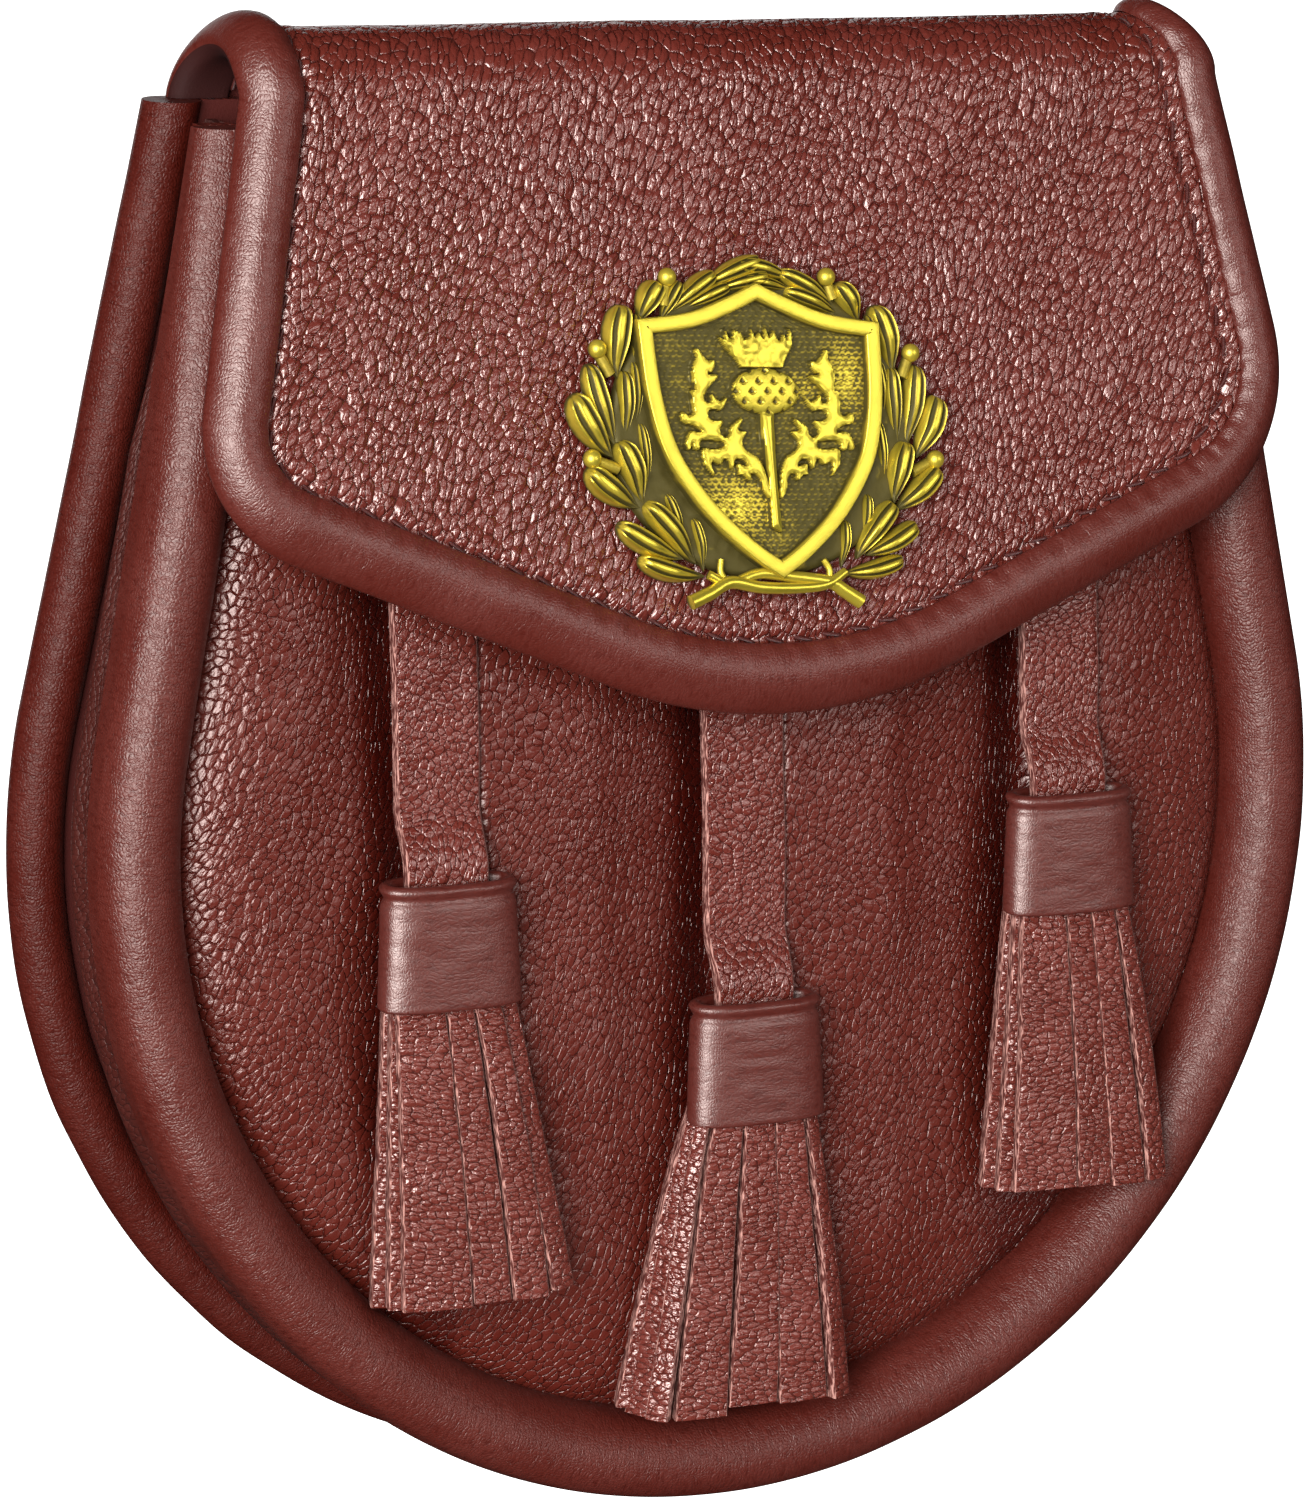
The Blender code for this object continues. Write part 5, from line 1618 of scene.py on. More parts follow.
    def rows(self) -> "tuple[LocksRow, ...]":
        """The rows of strips, from the front one back: (width at the collar, width at the end, turn)."""
        if self.place.side == "centre":
            front = ((1.8, 2.4, -52.0), (4.0, 5.4, -5.0), (4.0, 5.3, 0.0), (4.1, 5.3, 4.0), (2.0, 2.6, 26.0))
            middle = ((3.4, 4.6, -58.0), (3.6, 5.0, -20.0), (4.4, 5.6, 0.0), (4.2, 5.4, 8.0),
                      (2.4, 3.4, 34.0))
        else:
            front = ((6.6, 8.4, -5.0), (3.9, 5.0, 1.0), (3.7, 4.8, 4.0), (2.6, 3.4, 16.0))
            middle = ((4.4, 5.4, -12.0), (4.4, 5.6, 0.0), (4.2, 5.4, 8.0), (2.4, 3.4, 30.0))
        back = ((4.4, 5.4, -16.0), (4.4, 5.8, 0.0), (4.2, 5.6, 12.0), (2.6, 3.6, 34.0))
        return LocksRow(front, 5.0, 6.1, 0.0), LocksRow(middle, 3.2, 3.7, 1.3), LocksRow(back, 1.5, 1.5, 2.5)

    def fringe(self) -> None:
        """Rows of strips that fan out of the collar, round the head that they hang from."""
        rng = np.random.default_rng(300 + self.seed)
        maker = MeshMaker()
        for row in self.rows():
            self.add_row(maker, row, rng)
        self.add_head(maker)
        side = self.place.side
        self.deliver(maker, f"fringe_{side}_strips", Slot.GRAINED, [Look.STRIPS, Look.CUT, Look.CUT],
                     f"fringe_{side}", sharp=50.0)

    def add_row(self, maker: MeshMaker, row: LocksRow, rng: np.random.Generator) -> None:
        """Add one row of strips, each bowed, turned and cut uneven.

        A strip's middle moves from its share of the collar to its share of the spread end by a power
        of the way down. The first strip of a hidden row is thicker, as it is seen from its edge.

        Args:
            maker: Gathers the mesh.
            row: The row.
            rng: Random numbers, drawn strip by strip.
        """
        bottom = self.place.collar_top - self.collar_height
        top_height = bottom + self.strips_start
        inner = self.collar_bottom_width - 2 * (self.collar_wall + self.clearance)
        half, (left_margin, right_margin) = self.collar_bottom_width / 2, self.row_margins
        end_left = -half - self.place.spread_left + left_margin - row.shift
        end_right = half + self.place.spread_right - right_margin - row.shift / 2
        edges = np.concatenate([[[0.0, 0.0]], np.cumsum(np.array(row.strips)[:, :2], axis=0)])
        edges = edges / edges[-1] * (inner, end_right - end_left) + (-inner / 2, end_left)
        down = np.linspace(0.0, 1.0, 36)
        bow, belly = down**self.bow_power, np.sin(math.pi * down)
        for k, (_, _, turn) in enumerate(row.strips):
            (top_x, end_x), (top_wide, end_wide) = (edges[k] + edges[k + 1]) / 2, edges[k + 1] - edges[k]
            aside = rng.uniform(-self.side_bow, self.side_bow) * belly
            middle = self.place.x + top_x + (end_x - top_x) * bow + aside
            edge_back = 1.2 * max(2 * k / (len(row.strips) - 1) - 1.0, 0.0) ** 3
            depth = row.depth_top + (row.depth_bottom - row.depth_top) * smooth_step(0.0, 1.0, down)
            depth = depth - edge_back * (1.0 - 0.4 * down) + rng.uniform(*self.front_bow) * belly
            depth = np.maximum(depth - self.strip_thickness / 2, 0.25)
            end = bottom - self.place.length + rng.uniform(*self.cut_ends)
            height = top_height + (end - top_height) * down
            play = rng.uniform(-self.turn_play, self.turn_play)
            angle = np.radians(turn) * (0.75 + 0.25 * down) + play * down
            across = joined(np.cos(angle), np.sin(angle), 0.0)
            normal = unit(joined(np.sin(angle), -np.cos(angle), -self.form.front_lean))
            wide = top_wide + (end_wide - top_wide) * bow - self.strip_gap
            wide = wide * (1.0 + 0.03 * SoftNoise(90 + k, 3.0).at(height, 7.0 * row.shift))
            hide = (rng.uniform(0.0, 200.0), rng.uniform(0.0, 200.0))
            strip = Strip(self.strip_thickness + self.behind_thicker * (k == 0 and row.shift > 0), 0.22)
            strip.add(maker, self.on_front(middle, height, depth), across, normal, wide, hide, 0.10)

    def add_head(self, maker: MeshMaker) -> None:
        """Add the rolled head inside the collar: an oval plug with a flat top.

        Args:
            maker: Gathers the mesh.
        """
        bottom = self.place.collar_top - self.collar_height
        half_x = (self.collar_top_width - 2 * self.collar_wall) / 2 - 0.35
        half_y = (self.collar_depth - 2 * self.collar_wall) / 2 - self.clearance
        height = bottom + np.array([[-0.8], [self.strips_start], [self.collar_height * self.head_share]])
        around = np.linspace(0.0, 2 * math.pi, 49)
        cosine, sine = np.cos(around), np.sin(around)
        across = self.place.x + half_x * np.sign(cosine) * np.abs(cosine) ** 0.5
        deep = self.collar_depth / 2 + half_y * np.sign(sine) * np.abs(sine) ** 0.5
        maker.add_tube(self.on_front(across, height, deep), joined(9.0 * around, height), 1)


@dataclass
class BeltLoop(SubAssembly):
    """A strip sewn to the back at both ends, with room for a belt behind its middle."""

    side: Side
    x: float = 42.0
    width: float = 24.0
    thickness: float = 1.8
    standoff: float = 6.4
    half_height: float = 26.0
    foot: float = 8.0
    ramp: float = 5.0
    ramp_ease: float = 0.4
    gap: float = 0.3
    box_margins: "tuple[float, float, float]" = (2.2, 1.6, 1.4)

    def build(self) -> None:
        """The strip's line: flat feet, soft ramps and a bow; a box of stitches holds each foot."""
        height = np.linspace(-self.half_height, self.half_height, 120)
        start, end = self.half_height - self.foot, self.half_height - self.foot - self.ramp
        bow = smooth_step(start + self.ramp_ease, end - self.ramp_ease, np.abs(height))
        depth = self.gap + (self.standoff - self.gap) * bow
        middle, name = self.x * self.side.value, f"belt_loop_{self.side.name.lower()}"
        path = joined(middle, depth, BELT_HEIGHT + height)
        across = np.broadcast_to((1.0, 0.0, 0.0), path.shape)
        normal = unit(np.cross(np.gradient(path, axis=0), across))
        normal *= np.sign(normal[:, 1:2])
        maker = MeshMaker()
        strip = Strip(self.thickness, 0.4, 15)
        strip.add(maker, path, across, normal, self.width, (300.0 + middle, 0.0), 0.10)
        self.deliver(maker, f"{name}_leather", Slot.GRAINED, [Look.STRAP, Look.CUT, Look.INNER], name,
                     sharp=40.0)
        maker = MeshMaker()
        line = StitchLine(pitch=3.0, length=2.3, radius=0.32)
        side, low, high = self.box_margins
        for foot in (-1, 1):
            outside = self.gap + self.thickness + 0.08
            place = np.array((middle, outside, BELT_HEIGHT + foot * self.half_height))
            line.add_box(maker, (self.width / 2 - side, low, self.foot - high), place, -foot)
        self.deliver(maker, f"{name}_stitches", Slot.SMOOTH, [Look.THREAD])


# ---------------------------------------------------------------- badge


# Each leaf is across and up of its thin end and of its blunt tip in the badge's plane, half its width,
# how far its top stands out, and its bend sideways.
LAUREL = np.array((
    # left side, from the foot up
    (-9.6, -19.0, -19.2, -16.3, 1.45, 3.0, -0.5), (-12.6, -16.6, -21.9, -11.6, 1.65, 2.9, -0.4),
    (-10.9, -17.3, -17.9, -8.9, 1.70, 3.2, 0.3), (-9.7, -18.4, -10.9, -11.2, 0.75, 2.2, 0.3),
    (-12.6, -15.0, -14.6, -7.8, 0.80, 2.2, 0.3), (-18.6, -9.6, -25.8, -4.2, 1.85, 3.0, -0.4),
    (-18.0, -9.0, -21.0, -0.7, 1.85, 3.3, 0.3), (-17.2, -7.6, -17.6, 1.6, 0.80, 2.0, 0.3),
    (-21.9, -2.9, -27.2, 5.5, 2.10, 3.1, -0.5), (-21.2, -1.6, -24.6, 9.4, 1.70, 2.6, -0.3),
    (-19.8, -0.6, -19.5, 8.4, 1.25, 2.5, 0.2), (-18.1, 1.0, -18.0, 9.6, 0.80, 2.2, 0.3),
    (-20.5, 7.4, -19.2, 16.9, 2.00, 3.1, -0.5), (-17.9, 9.2, -16.9, 15.6, 0.80, 2.3, 0.3),
    (-16.6, 14.6, -13.6, 19.6, 1.75, 3.0, -0.3), (-13.4, 14.6, -10.4, 19.6, 1.10, 2.5, -0.2),
    (-12.2, 15.6, -5.2, 20.5, 1.35, 2.9, -0.3), (-9.9, 16.0, -3.4, 18.7, 1.10, 3.0, -0.2),
    (-7.2, 18.7, 1.6, 22.0, 1.35, 3.1, -0.3), (-5.8, 18.1, 2.6, 19.8, 1.10, 3.2, -0.2),
    # right side, from the foot up
    (11.0, -19.8, 20.1, -18.4, 1.35, 3.0, 0.5), (14.6, -17.6, 22.6, -13.9, 1.50, 2.9, 0.4),
    (13.1, -18.0, 19.2, -10.8, 1.70, 3.2, -0.3), (10.8, -19.0, 11.6, -12.6, 0.75, 2.2, 0.3),
    (14.2, -15.6, 15.3, -9.4, 0.80, 2.2, 0.3), (19.6, -11.9, 26.5, -6.5, 1.75, 3.0, 0.4),
    (19.3, -11.0, 21.5, -2.8, 1.75, 3.3, -0.3), (18.1, -8.6, 17.5, 0.6, 0.80, 2.0, 0.3),
    (23.1, -5.2, 26.9, 3.0, 1.95, 3.1, 0.5), (21.8, -3.4, 24.0, 7.3, 1.65, 2.6, 0.3),
    (20.6, -3.0, 20.1, 7.2, 1.30, 2.5, -0.2), (18.7, 0.2, 18.1, 8.4, 0.80, 2.2, 0.3),
    (20.4, 6.2, 18.2, 15.4, 1.85, 3.1, 0.5), (18.2, 8.4, 17.2, 14.2, 0.70, 2.3, 0.3),
    (15.8, 13.3, 12.7, 18.5, 1.65, 3.0, 0.3), (12.9, 14.3, 4.6, 17.8, 1.20, 2.9, 0.2),
    (12.3, 15.6, 4.2, 20.3, 1.30, 2.8, 0.3), (6.3, 19.3, -2.4, 21.6, 1.25, 2.9, 0.3),
    (6.0, 17.9, -2.0, 19.4, 1.00, 2.8, 0.2),
))


def depth_inside(right: Array, up: Array, outline: Array) -> Array:
    """How deep places lie inside a closed outline.

    The depth is the distance to the nearest of the outline's edges. It counts as positive where a
    line to the right crosses the outline an odd number of times, and as negative elsewhere.

    Args:
        right: Across, in the badge's plane.
        up: Up, in the badge's plane.
        outline: Corners (count, 2), without a repeated end.

    Returns:
        One depth for each place.
    """
    nearest, odd = np.full(right.shape, np.inf), np.zeros(right.shape, bool)
    for start, end in zip(outline, np.roll(outline, -1, axis=0)):
        way = end - start
        share = ((right - start[0]) * way[0] + (up - start[1]) * way[1]) / (way @ way)
        share = np.clip(share, 0.0, 1.0)
        away = np.hypot(right - start[0] - share * way[0], up - start[1] - share * way[1])
        nearest = np.minimum(nearest, away)
        if way[1]:
            crossing = start[0] + (up - start[1]) * way[0] / way[1]
            odd ^= ((start[1] > up) != (end[1] > up)) & (right < crossing)
    return np.where(odd, nearest, -nearest)


@dataclass
class Badge(SubAssembly):
    """The cast badge: a shield with a thistle inside a laurel wreath with crossed stems."""

    maker: MeshMaker = field(default_factory=MeshMaker)
    x: float = -2.2
    height: float = 147.0
    gap: float = 0.3
    base: float = 1.2
    foot: float = 0.45
    leaf_foot: float = 0.75
    rim_top: float = 3.62
    rim_width: float = 2.05
    field_height: float = 2.2
    plate_centre: "tuple[float, float]" = (0.5, -0.2)
    plate_radii: "tuple[float, float]" = (22.4, 19.6)
    thistle_x: float = 0.15
    bulb_up: float = 4.9
    bulb_radii: "tuple[float, float]" = (5.05, 3.15)
    leaf_growth: float = 0.14
    stem: tuple = ((0.05, 2.2), (0.0, -5.6), (-0.1, -13.4))
    stem_radii: tuple = (1.02, 0.66, 0.74)
    weave: "tuple[float, float]" = (6.4, 9.2)
    pits: "tuple[float, float]" = (2.25, 2.75)
    rubbed_patches: tuple = (
        # most, across, up, width, height, reach
        (1.0, -5.4, -10.6, 1.25, 0.95, 3.9), (0.8, 12.8, 7.0, 0.75, 1.2, 3.6), (0.6, 6.0, 5.6, 1.0, 1.0, 2.0),
    )
    twigs: tuple = (
        # points of the twig, its radius at both ends, how far it stands out, shine
        (((-12.6, -22.3), (-9.8, -21.3), (-6.6, -20.0), (-2.2, -20.9), (3.0, -21.3), (7.6, -21.1),
          (10.6, -19.6)),
         (1.0, 0.62), 2.5, 1.0),
        (((12.8, -23.7), (10.4, -22.1), (8.2, -20.8), (2.8, -19.8), (-2.2, -19.1), (-6.6, -20.2),
          (-9.6, -18.8)),
         (1.0, 0.62), 2.2, 0.9),
        (((-6.8, -20.0), (-7.7, -18.6), (-7.5, -16.9)), (0.5, 0.4), 2.0, 0.8),
        (((8.3, -20.6), (8.5, -19.2), (7.7, -17.8)), (0.5, 0.4), 2.0, 0.8),
    )
    berries: tuple = (
        # berry, then where its stalk starts
        ((-23.4, 11.2), (-21.6, 7.8)), ((-25.2, -2.9), (-21.4, -4.4)), ((-12.6, 20.1), (-13.2, 16.4)),
        ((23.0, 8.8), (21.6, 5.6)), ((25.7, -5.5), (22.2, -7.0)), ((11.0, 19.3), (12.0, 16.4)),
    )
    berry_radius: float = 1.25
    berry_out: float = 1.9

    def point(self, right: Array, up: Array, out: Array) -> Array:
        """Points of the badge, whose back lies on the flap's leaning face."""
        along = self.form.along_of(self.height) - np.asarray(up)
        return self.form.point(self.x - self.form.centre_x + right, along, self.gap + out)

    def on_shield(self, right: Array, up: Array, out: Array) -> Array:
        """Points of the shield, which sits on the wreath a little turned."""
        return self.point(right - 0.03 * up + 0.22, 0.98 * up - 0.05 * right - 0.15, out)

    def shield(self) -> Array:
        """The shield's clockwise outline, two curves on each side, without a repeated end."""
        top = np.array(((0.0, 19.4), (4.4, 17.4), (10.3, 15.3), (17.9, 14.3)))
        flank = np.array(((17.9, 14.3), (17.4, 4.5), (15.8, -3.0), (12.9, -8.4), (8.9, -13.3), (4.1, -17.5),
                          (0.0, -20.2)))
        half = np.concatenate([smooth_curve(top, 6)[:-1], smooth_curve(flank, 7)])
        return np.concatenate([half, (half * (-1.0, 1.0))[-2:0:-1]])

    def add_rim(self) -> None:
        """The raised rim: a wall, a broad flat top with narrow bevels and a wall inside."""
        outline, top, width, foot = self.shield(), self.rim_top, self.rim_width, self.foot
        section = np.array((
            # inset, height, shine
            (0.00, foot, 0.0), (0.00, 2.40, 0.1), (0.02, top - 0.14, 0.6), (0.10, top - 0.02, 1.0),
            (0.17, top, 0.9), (1.10, top + 0.02, 0.84), (1.86, top, 0.9), (1.94, top - 0.03, 0.95),
            (width, top - 0.2, 0.5), (width + 0.06, 2.9, 0.1), (width + 0.10, self.field_height - 0.25, 0.0),
            (width + 0.10, foot, 0.0), (0.00, foot, 0.0),
        ))
        rings = np.stack([drawn_inside(outline, inset) for inset in section[:, 0]], axis=1)
        rings = np.concatenate([rings, rings[:1]])
        worn = 0.16 * SoftNoise(101, 3.0).at(rings[..., 0], rings[..., 1])
        points = self.on_shield(rings[..., 0], rings[..., 1], section[:, 1])
        self.maker.add(points, rings, 0, np.clip(section[:, 2] + worn, 0.0, 1.0))

    def thistle(self, right: Array, up: Array) -> "tuple[Array, Array]":
        """How deep places lie inside the flower, and inside the two leaves, which mirror each other.

        Args:
            right: Across, in the badge's plane.
            up: Up, in the badge's plane.

        Returns:
            Two depths for each place.
        """
        flower = np.array((
            (-6.2, 12.2), (-5.2, 11.8), (-5.0, 13.3), (-4.6, 12.1), (-4.1, 11.8), (-3.8, 13.1), (-2.7, 12.8),
            (-2.3, 11.8), (-1.5, 12.1), (-1.1, 13.4), (-0.7, 12.1), (0.0, 12.8), (0.5, 11.9), (0.9, 13.7),
            (1.4, 12.1), (2.2, 13.2), (2.7, 11.8), (3.1, 11.7), (3.6, 12.8), (4.0, 11.8), (4.6, 13.5),
            (4.9, 12.2), (4.7, 10.9), (3.8, 9.6), (3.0, 8.0), (-3.2, 8.0), (-4.0, 9.3), (-5.3, 10.9),
        ))
        leaf = np.array((
            (0.8, -9.3), (1, -7.5), (1.4, -5.6), (2.1, -4.1), (2.9, -3.6), (3.8, -3), (4.3, -2.2),
            (4.2, -1.6), (3.5, -0.6), (4.3, -0.5), (4.7, -0.2), (3.9, 1.1), (4.6, 0.8), (5.6, 0),
            (5.7, -0.8), (6.4, -1.4), (7.1, -1.1), (7.4, -0.5), (7.3, 0), (6.8, 0.9), (7.6, 0.8), (8.4, 1),
            (8.9, 1.5), (8.8, 2.2), (8.3, 2.5), (7.5, 2.5), (6.7, 2.5), (5.9, 3.9), (6.7, 3.4), (7.6, 3.9),
            (8, 4.4), (8.1, 3.5), (8.5, 3.2), (9.1, 3.5), (9.3, 4.2), (8.1, 5.7), (6.8, 6.9), (8.1, 7),
            (8.3, 7.4), (7.7, 7.5), (7.2, 8.3), (7.3, 8.9), (8, 8.8), (8.7, 9.4), (9.4, 10.4), (9.8, 10.2),
            (9.6, 9.5), (10.2, 8.3), (10.4, 7.2), (10.3, 6), (10.2, 5), (10.8, 4.8), (10.8, 3.1),
            (10.7, 2.1), (11.2, 1.6), (11.8, 1.5), (12.3, 1.9), (12.7, 1.8), (12.7, 1), (12.1, 0.6),
            (11, 0.4), (9.9, -0.4), (10.3, -0.7), (11.5, -0.6), (12.1, -1.3), (12.4, -2.3), (12.1, -2.9),
            (11.7, -2.2), (11.4, -2), (11.2, -2.8), (10.6, -2.8), (10.5, -2), (9.8, -1.5), (8.4, -1.6),
            (7.1, -1.7), (6.8, -2.2), (7, -2.7), (8.4, -3), (9.7, -2.8), (10.2, -3.3), (10.1, -4.1),
            (9.9, -4.9), (9.4, -5.6), (8.8, -6.3), (9, -5.6), (9.1, -4.8), (8.7, -4.4), (7.7, -4.8),
            (7.1, -4.1), (6.5, -4.2), (6.1, -5.3), (5.8, -5), (5.6, -4.3), (5.1, -4.1), (4.4, -4.1),
            (3.8, -4.6), (3.7, -5.1), (4.1, -5.2), (5.1, -4.9), (5, -5.6), (5.1, -6.2), (4.4, -6.2),
            (3.7, -6.9), (3.4, -6.5), (3.5, -6.1), (2.9, -6), (2.4, -6.2), (1.9, -6.9), (1.7, -8.1),
            (1.3, -8.9),
        ))
        leaf = smooth_curve(leaf, 3, closed=True)[:-1]
        leaves = depth_inside(np.abs(right - self.thistle_x), up, leaf)
        return depth_inside(right, up, flower), self.leaf_growth + leaves

    def stem_depth(self, right: Array, up: Array) -> Array:
        """How deep places lie inside the stem, whose ends are cut, the lower one aslant.

        Args:
            right: Across, in the badge's plane.
            up: Up, in the badge's plane.

        Returns:
            One depth for each place.
        """
        x, heights = np.array(self.stem).T
        middle, half = (np.interp(-up, -heights, values) for values in (x, self.stem_radii))
        return np.minimum(half - np.abs(right - middle), np.minimum(heights[0] - up, up + 13.7 + 0.5 * right))

    def wear(self, right: Array, up: Array) -> Array:
        """Where the woven ground is rubbed bright: the highest of a few soft oval patches."""
        return np.max([most * bump_of(np.hypot((right - x) / wide, (up - y) / tall), 0.0, reach)
                       for most, x, y, wide, tall, reach in self.rubbed_patches], axis=0)

    def add_field(self) -> None:
        """The shield's woven ground with the thistle raised on it.

        Every row runs between the shield's sides. The ground is a crossed wave; the flower, the
        leaves and the stem stand on it with steep walls, and the bulb is a dome with pits between its
        scales.
        """
        inner = drawn_inside(self.shield(), self.rim_width * 0.6)
        half = inner[: len(inner) // 2 + 1]
        order = np.argsort(half[:, 1])
        rows = np.linspace(half[-1, 1] + 0.02, half[0, 1] - 0.02, 262)[:, None]
        right = np.interp(rows, half[order, 1], half[order, 0]) * np.linspace(-1.0, 1.0, 237)
        up = np.broadcast_to(rows, right.shape)
        row_turn = math.pi * np.round(up * self.weave[1] / (2 * math.pi))
        across = np.sin(self.weave[0] * right + 1.3 * SoftNoise(110, 1.7).at(right, up) + row_turn)
        weave = across * np.cos(self.weave[1] * up + 0.9 * SoftNoise(112, 2.0).at(right, up))
        weave = 0.6 * weave + 0.4 * np.cos(self.weave[1] * up)
        rough = SoftNoise(111, 0.4).at(right, up)
        head, plant = self.thistle(right, up)
        stem = self.stem_depth(right, up)
        aside, above = right - self.thistle_x, up - self.bulb_up
        bulb = 1.0 - np.hypot(aside / self.bulb_radii[0], above / self.bulb_radii[1])
        pits = self.bulb_pits(aside, above)
        dents = 0.08 * SoftNoise(113, 0.8).at(right, up)
        relief = np.max([
            1.10 * smooth_step(-0.10, 0.12, head) + 0.10 * smooth_step(0.1, 1.6, head) + dents,
            1.05 * smooth_step(-0.10, 0.12, plant) + 0.08 * smooth_step(0.1, 0.8, plant) + 0.4 * dents,
            1.05 * smooth_step(-0.10, 0.12, stem) + 0.22 * smooth_step(0.0, 0.8, stem),
            smooth_step(-0.01, 0.05, bulb) * (0.95 + 0.55 * np.sqrt(np.clip(bulb, 0.0, 1.0)) - 0.40 * pits),
        ], axis=0)
        clear = smooth_step(0.25, 0.0, relief)
        height = self.field_height + (0.055 * weave + 0.04 * rough) * clear + relief
        worn = self.wear(right, up)
        crests = smooth_step(-0.15, 0.6, weave + 0.35 * rough + 0.35 * worn)
        shine = clear * (0.04 + 0.10 * worn + (0.17 + 0.80 * worn) * crests)
        stain = smooth_step(0.45, 0.95, SoftNoise(114, 0.7).at(right, up)) * smooth_step(-0.1, 0.1, head)
        shine = shine + (0.96 - 0.35 * stain) * smooth_step(0.80, 1.02, relief) - 1.1 * pits * (bulb > 0.0)
        points, flat = self.on_shield(right, up, height), self.on_shield(right, up, self.foot)
        uv = joined(right, up)
        self.maker.add(points, uv, 0, np.clip(shine, 0.0, 1.0))
        for edge in GRID_EDGES:
            self.maker.add_wall(points[edge], flat[edge], uv[edge])
        self.maker.add(flat[:, [0, -1]], uv[:, [0, -1]])

    def bulb_pits(self, right: Array, up: Array) -> Array:
        """Pits between the scales: small diamonds in rows, each row shifted by half a step.

        Args:
            right: Across, from the bulb's middle.
            up: Up, from the bulb's middle.

        Returns:
            How far each place lies in a pit, from 0 to 1.
        """
        row = np.round(up / (self.pits[1] / 2))
        across = right / self.pits[0] + 0.5 * (row % 2)
        away = np.abs(across - np.round(across)) * self.pits[0]
        rise = up - row * self.pits[1] / 2
        return smooth_step(0.62, 0.20, away + np.abs(rise + 0.25 * away))

    def add_plate(self) -> None:
        """The plate behind the wreath: a low oval dome with a rough dark face."""
        turn = np.linspace(0.0, 2 * math.pi, 181)
        share = np.concatenate([[0.0, 1.0, 1.0, 0.985], np.linspace(0.96, 0.5, 24), [0.0]])[:, None]
        out = np.concatenate([[0.0, 0.0, 0.7, self.base], np.full(25, self.base + 0.2)])[:, None]
        right = self.plate_centre[0] + self.plate_radii[0] * np.cos(turn) * share
        up = self.plate_centre[1] + self.plate_radii[1] * np.sin(turn) * share
        rough = SoftNoise(131, 0.9).at(right, up) + 0.6 * SoftNoise(132, 2.2).at(right, up)
        inside = (share > 0.0) & (share < 0.97)
        points = self.point(right, up, out + 0.16 * rough * inside)
        self.maker.add(points, points[..., [0, 2]], 0, np.clip(0.55 * (rough - 0.75), 0.0, 1.0) * inside)

    def add_leaves(self) -> None:
        """All leaves at once: a blunt plan with raised rounded edges, two deep valleys and a midrib.

        Half the width grows with the way along and closes with the root of what is left of it. The
        height over the leaf is a flat dome less one bell on each side of the middle. A leaf rises
        from its thin end, which the next leaf's tip covers.
        """
        base, reach = LAUREL[:, None, None, :2], (LAUREL[:, 2:4] - LAUREL[:, :2])[:, None, None]
        wide, top, bend = (LAUREL[:, k, None, None] for k in (4, 5, 6))
        aside = unit(joined(reach[..., 1], -reach[..., 0]))
        along = ((1.0 - np.cos(np.linspace(0.0, math.pi, 25))) / 2)[:, None]
        across = np.linspace(-1.0, 1.0, 27)
        plan = along**0.8 * (1.0 - along) ** 0.42
        sideways = wide * plan / plan.max() * across + bend * np.sin(math.pi * along)
        place = base + reach * along[..., None] + aside * sideways[..., None]
        strong = smooth_step(0.02, 0.2, along) * smooth_step(0.99, 0.86, along)
        valley = bump_of(np.abs(across), 0.45, 0.15) * strong
        body = (1.0 - np.abs(across) ** 7) * (1.0 - along**20)
        rise = 0.30 + 0.70 * smooth_step(0.0, 0.55, along)
        height = self.leaf_foot + (top - self.leaf_foot) * rise * body * (1.0 - 0.34 * valley)
        worn = 0.20 * SoftNoise(121, 3.0).at(place[..., 0], place[..., 1])
        ridge = np.maximum(bump_of(np.abs(across), 0.76, 0.17), bump_of(across, 0.0, 0.16))
        level = 0.62 * smooth_step(2.3, 3.0, top)
        shine = (level + (1.0 - level) * ridge - 1.1 * valley) * smooth_step(0.05, 0.6, body)
        shine = np.clip(shine * (0.15 + 0.85 * smooth_step(0.0, 0.42, along)) + worn - 0.06, 0.0, 1.0)
        self.maker.add(self.point(place[..., 0], place[..., 1], height), place, 0, shine)
        edges = place[:, :, [0, -1]]
        self.maker.add(self.point(edges[..., 0], edges[..., 1], self.leaf_foot), edges)

    def add_berry(self, centre: "tuple[float, float]") -> None:
        """Add a round berry, from pole to pole.

        Args:
            centre: Its middle in the badge's plane.
        """
        turn = np.linspace(0.0, 2 * math.pi, 25)
        tilt = np.linspace(-math.pi / 2, math.pi / 2, 15)[:, None]
        reach = self.berry_radius * np.cos(tilt)
        out = self.berry_out + self.berry_radius * np.sin(tilt)
        points = self.point(centre[0] + reach * np.cos(turn), centre[1] + reach * np.sin(turn), out)
        self.maker.add(points, points[..., [0, 2]], 0, np.clip(0.22 + 0.6 * np.sin(tilt), 0.0, 1.0))

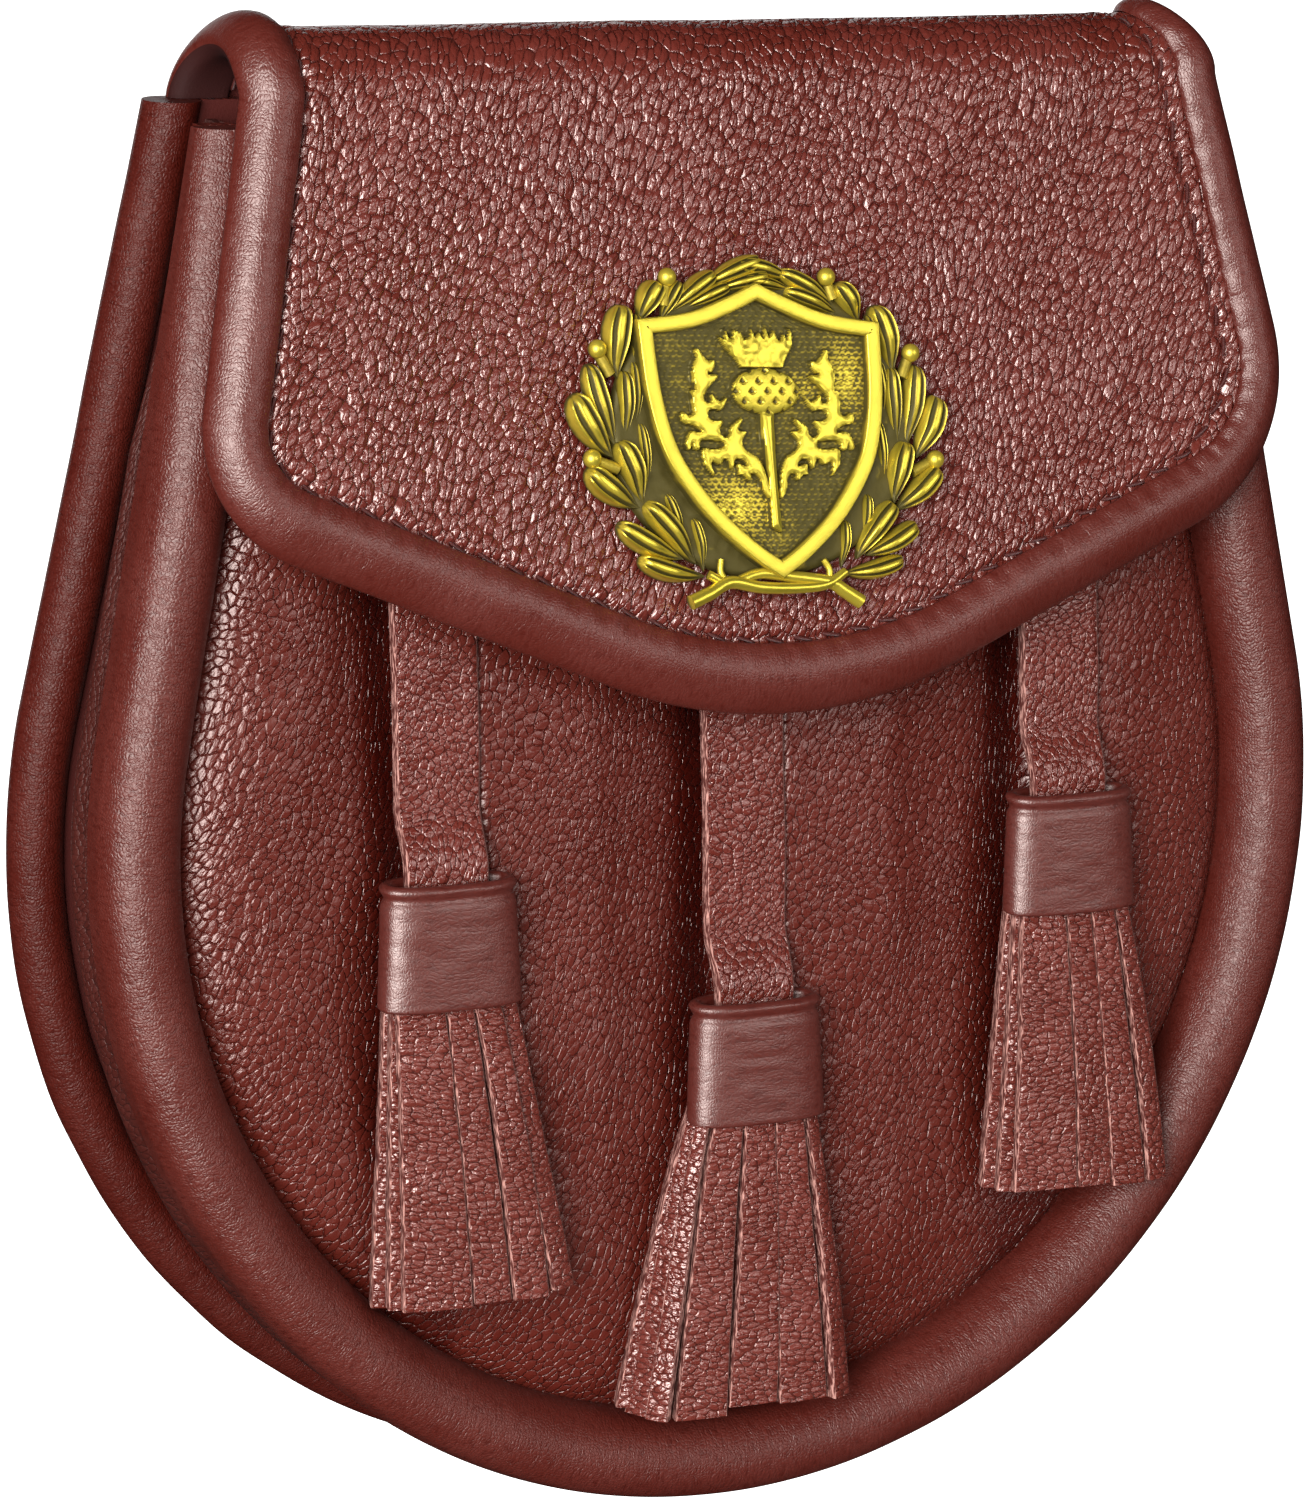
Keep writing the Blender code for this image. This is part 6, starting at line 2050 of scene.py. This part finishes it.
    def add_twig(self, line: tuple, radii: "tuple[float, float]", out: float, shine: float) -> None:
        """Add a round twig along a curved line in the badge's plane.

        Args:
            line: Points of its middle, across and up.
            radii: Its radius at both ends.
            out: How far its middle stands out.
            shine: How far its top is rubbed bright.
        """
        curve = smooth_curve(line, 8)
        turn = np.linspace(0.0, 2 * math.pi, 13)
        radius = np.linspace(*radii, len(curve))[:, None]
        place = curve[:, None] + normals_of(curve)[:, None] * (radius * np.cos(turn))[..., None]
        points = self.point(place[..., 0], place[..., 1], out + radius * np.sin(turn))
        shine = np.clip(shine * (0.45 + 0.6 * np.sin(turn)), 0.0, 1.0)
        self.maker.add_tube(points, points[..., [0, 2]], 0, shine)

    def build(self) -> None:
        """Everything on the badge in one piece, as it is cast."""
        self.add_plate()
        self.add_rim()
        self.add_field()
        self.add_leaves()
        for line, radii, out, shine in self.twigs:
            self.add_twig(line, radii, out, shine)
        for berry, root in self.berries:
            self.add_twig((berry, np.add(berry, root) / 2, root), (0.75, 0.8), 1.5, 0.35)
            self.add_berry(berry)
        self.deliver(self.maker, "badge_casting", Slot.BRASS, [Look.BADGE], "badge", sharp=50.0)


# ---------------------------------------------------------------- studio


@dataclass(frozen=True)
class Softbox:
    """A flat soft light that faces the sporran. Azimuth 0 is in front, and minus is to the left."""

    name: str
    azimuth: float
    elevation: float
    distance: float
    width: float
    height: float
    power: float

    def make(self, aim: Vector) -> None:
        """Place the light on a sphere round the aim and turn it to face the aim.

        Args:
            aim: What the light faces.
        """
        azimuth, elevation = math.radians(self.azimuth), math.radians(self.elevation)
        way = Vector((math.sin(azimuth) * math.cos(elevation), -math.cos(azimuth) * math.cos(elevation),
                      math.sin(elevation)))
        lamp = bpy.data.lights.new(self.name, "AREA")
        lamp.shape = "RECTANGLE"
        lamp.size, lamp.size_y, lamp.energy = self.width, self.height, self.power
        light = bpy.data.objects.new(self.name, lamp)
        light.location = aim + way * self.distance
        light.rotation_euler = (-way).to_track_quat("-Z", "Y").to_euler()
        bpy.context.scene.collection.objects.link(light)


@dataclass
class Studio:
    """The plain pale floor far below, soft lights and the camera."""

    aim: Vector = field(default_factory=lambda: Vector((0.0, -0.012, -0.045)))
    camera_place: "tuple[float, float, float]" = (-0.34928, -0.65977, 0.13728)
    yaw: float = 0.4857
    pitch: float = 0.2396
    roll: float = 0.0427
    focal_pixels: float = 5577.86
    image_height: float = 1500.0
    sensor: float = 36.0
    floor_height: float = -0.6
    floor_half: float = 30.0
    floor_glow: float = 0.92
    floor_colour: tuple = (0.86, 0.86, 0.86)
    world_light: float = 0.88
    world_colour: tuple = (1.0, 0.98, 0.96, 1.0)
    lights: "tuple[Softbox, ...]" = (
        Softbox("key_left", -44.0, 13.0, 1.6, 0.9, 1.1, 60.0),
        Softbox("fill_front", 27.0, 17.0, 2.2, 1.2, 0.9, 12.0),
        Softbox("fill_behind", 170.0, 5.0, 2.2, 1.6, 1.4, 9.0),
    )

    def floor(self) -> None:
        """A wide pale floor that only the camera and the lights see."""
        graph = Graph("pale_floor", Emission_Color=(1.0, 1.0, 1.0, 1.0), Emission_Strength=self.floor_glow)
        material = graph.finish(self.floor_colour, 0.8 + 0.1 * graph.solid_noise(0.6))
        half = self.floor_half
        corners = np.array(((-half, -half), (half, -half), (half, half), (-half, half)))
        points = np.concatenate([corners, np.full((4, 1), self.floor_height)], axis=1)
        mesh = bpy.data.meshes.new("floor")
        mesh.from_pydata(points.tolist(), [], [(0, 1, 2, 3)])
        mesh.materials.append(material)
        floor = bpy.data.objects.new("floor", mesh)
        floor.visible_diffuse = False
        floor.visible_glossy = False
        bpy.context.scene.collection.objects.link(floor)

    def camera(self) -> None:
        """The camera at the photograph's angle, turned by its yaw, pitch and roll."""
        ahead = Vector((math.sin(self.yaw) * math.cos(self.pitch), math.cos(self.yaw) * math.cos(self.pitch),
                        -math.sin(self.pitch)))
        level = Vector((math.cos(self.yaw), -math.sin(self.yaw), 0.0))
        upright = level.cross(ahead)
        right = math.cos(self.roll) * level + math.sin(self.roll) * upright
        up = -math.sin(self.roll) * level + math.cos(self.roll) * upright
        lens = bpy.data.cameras.new("camera")
        lens.sensor_fit = "VERTICAL"
        lens.sensor_width = lens.sensor_height = self.sensor
        lens.lens = self.focal_pixels * self.sensor / self.image_height
        lens.clip_start, lens.clip_end = 0.05, 100.0
        camera = bpy.data.objects.new("camera", lens)
        camera.matrix_world = (Matrix.Translation(self.camera_place)
                               @ Matrix((right, up, -ahead)).transposed().to_4x4())
        bpy.context.scene.collection.objects.link(camera)
        bpy.context.scene.camera = camera

    def build(self) -> None:
        """Floor, lights, matt light all round, camera and plain colours."""
        self.floor()
        for light in self.lights:
            light.make(self.aim)
        world = bpy.data.worlds.new("studio")
        world.use_nodes = True
        background = world.node_tree.nodes["Background"].inputs
        background["Color"].default_value = self.world_colour
        background["Strength"].default_value = self.world_light
        world.cycles_visibility.glossy = False
        bpy.context.scene.world = world
        bpy.context.scene.view_settings.view_transform = "Standard"
        self.camera()


def main() -> None:
    """Build every sub-assembly in order."""
    logging.basicConfig(level=logging.INFO, format="%(name)s: %(message)s")
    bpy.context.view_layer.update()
    materials = {look: look.value.make() for look in Look}
    pouch, flap_form = PouchForm(), FlapForm()
    Studio().build()
    back, front, flap = BackWall(pouch, materials), FrontWall(pouch, materials), Flap(flap_form, materials)
    gusset, badge = GussetWall(pouch, materials), Badge(flap_form, materials)
    steps = [back.panel, back.piping, gusset.build, front.panel, front.piping,
             flap.leather, flap.binding, flap.stitches, flap.tail_stitches]
    for seed, place in enumerate(TASSEL_PLACES):
        tassel = Tassel(pouch, materials, place, seed)
        steps += [tassel.strap, tassel.collar, tassel.fringe]
    steps += [BeltLoop(pouch, materials, side).build for side in Side]
    for step in (*steps, badge.build):
        step()
    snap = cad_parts["snap_stud"]
    for place in snap.material_slots:
        place.material = materials[Look.SNAP]


if __name__ == "__main__":
    main()
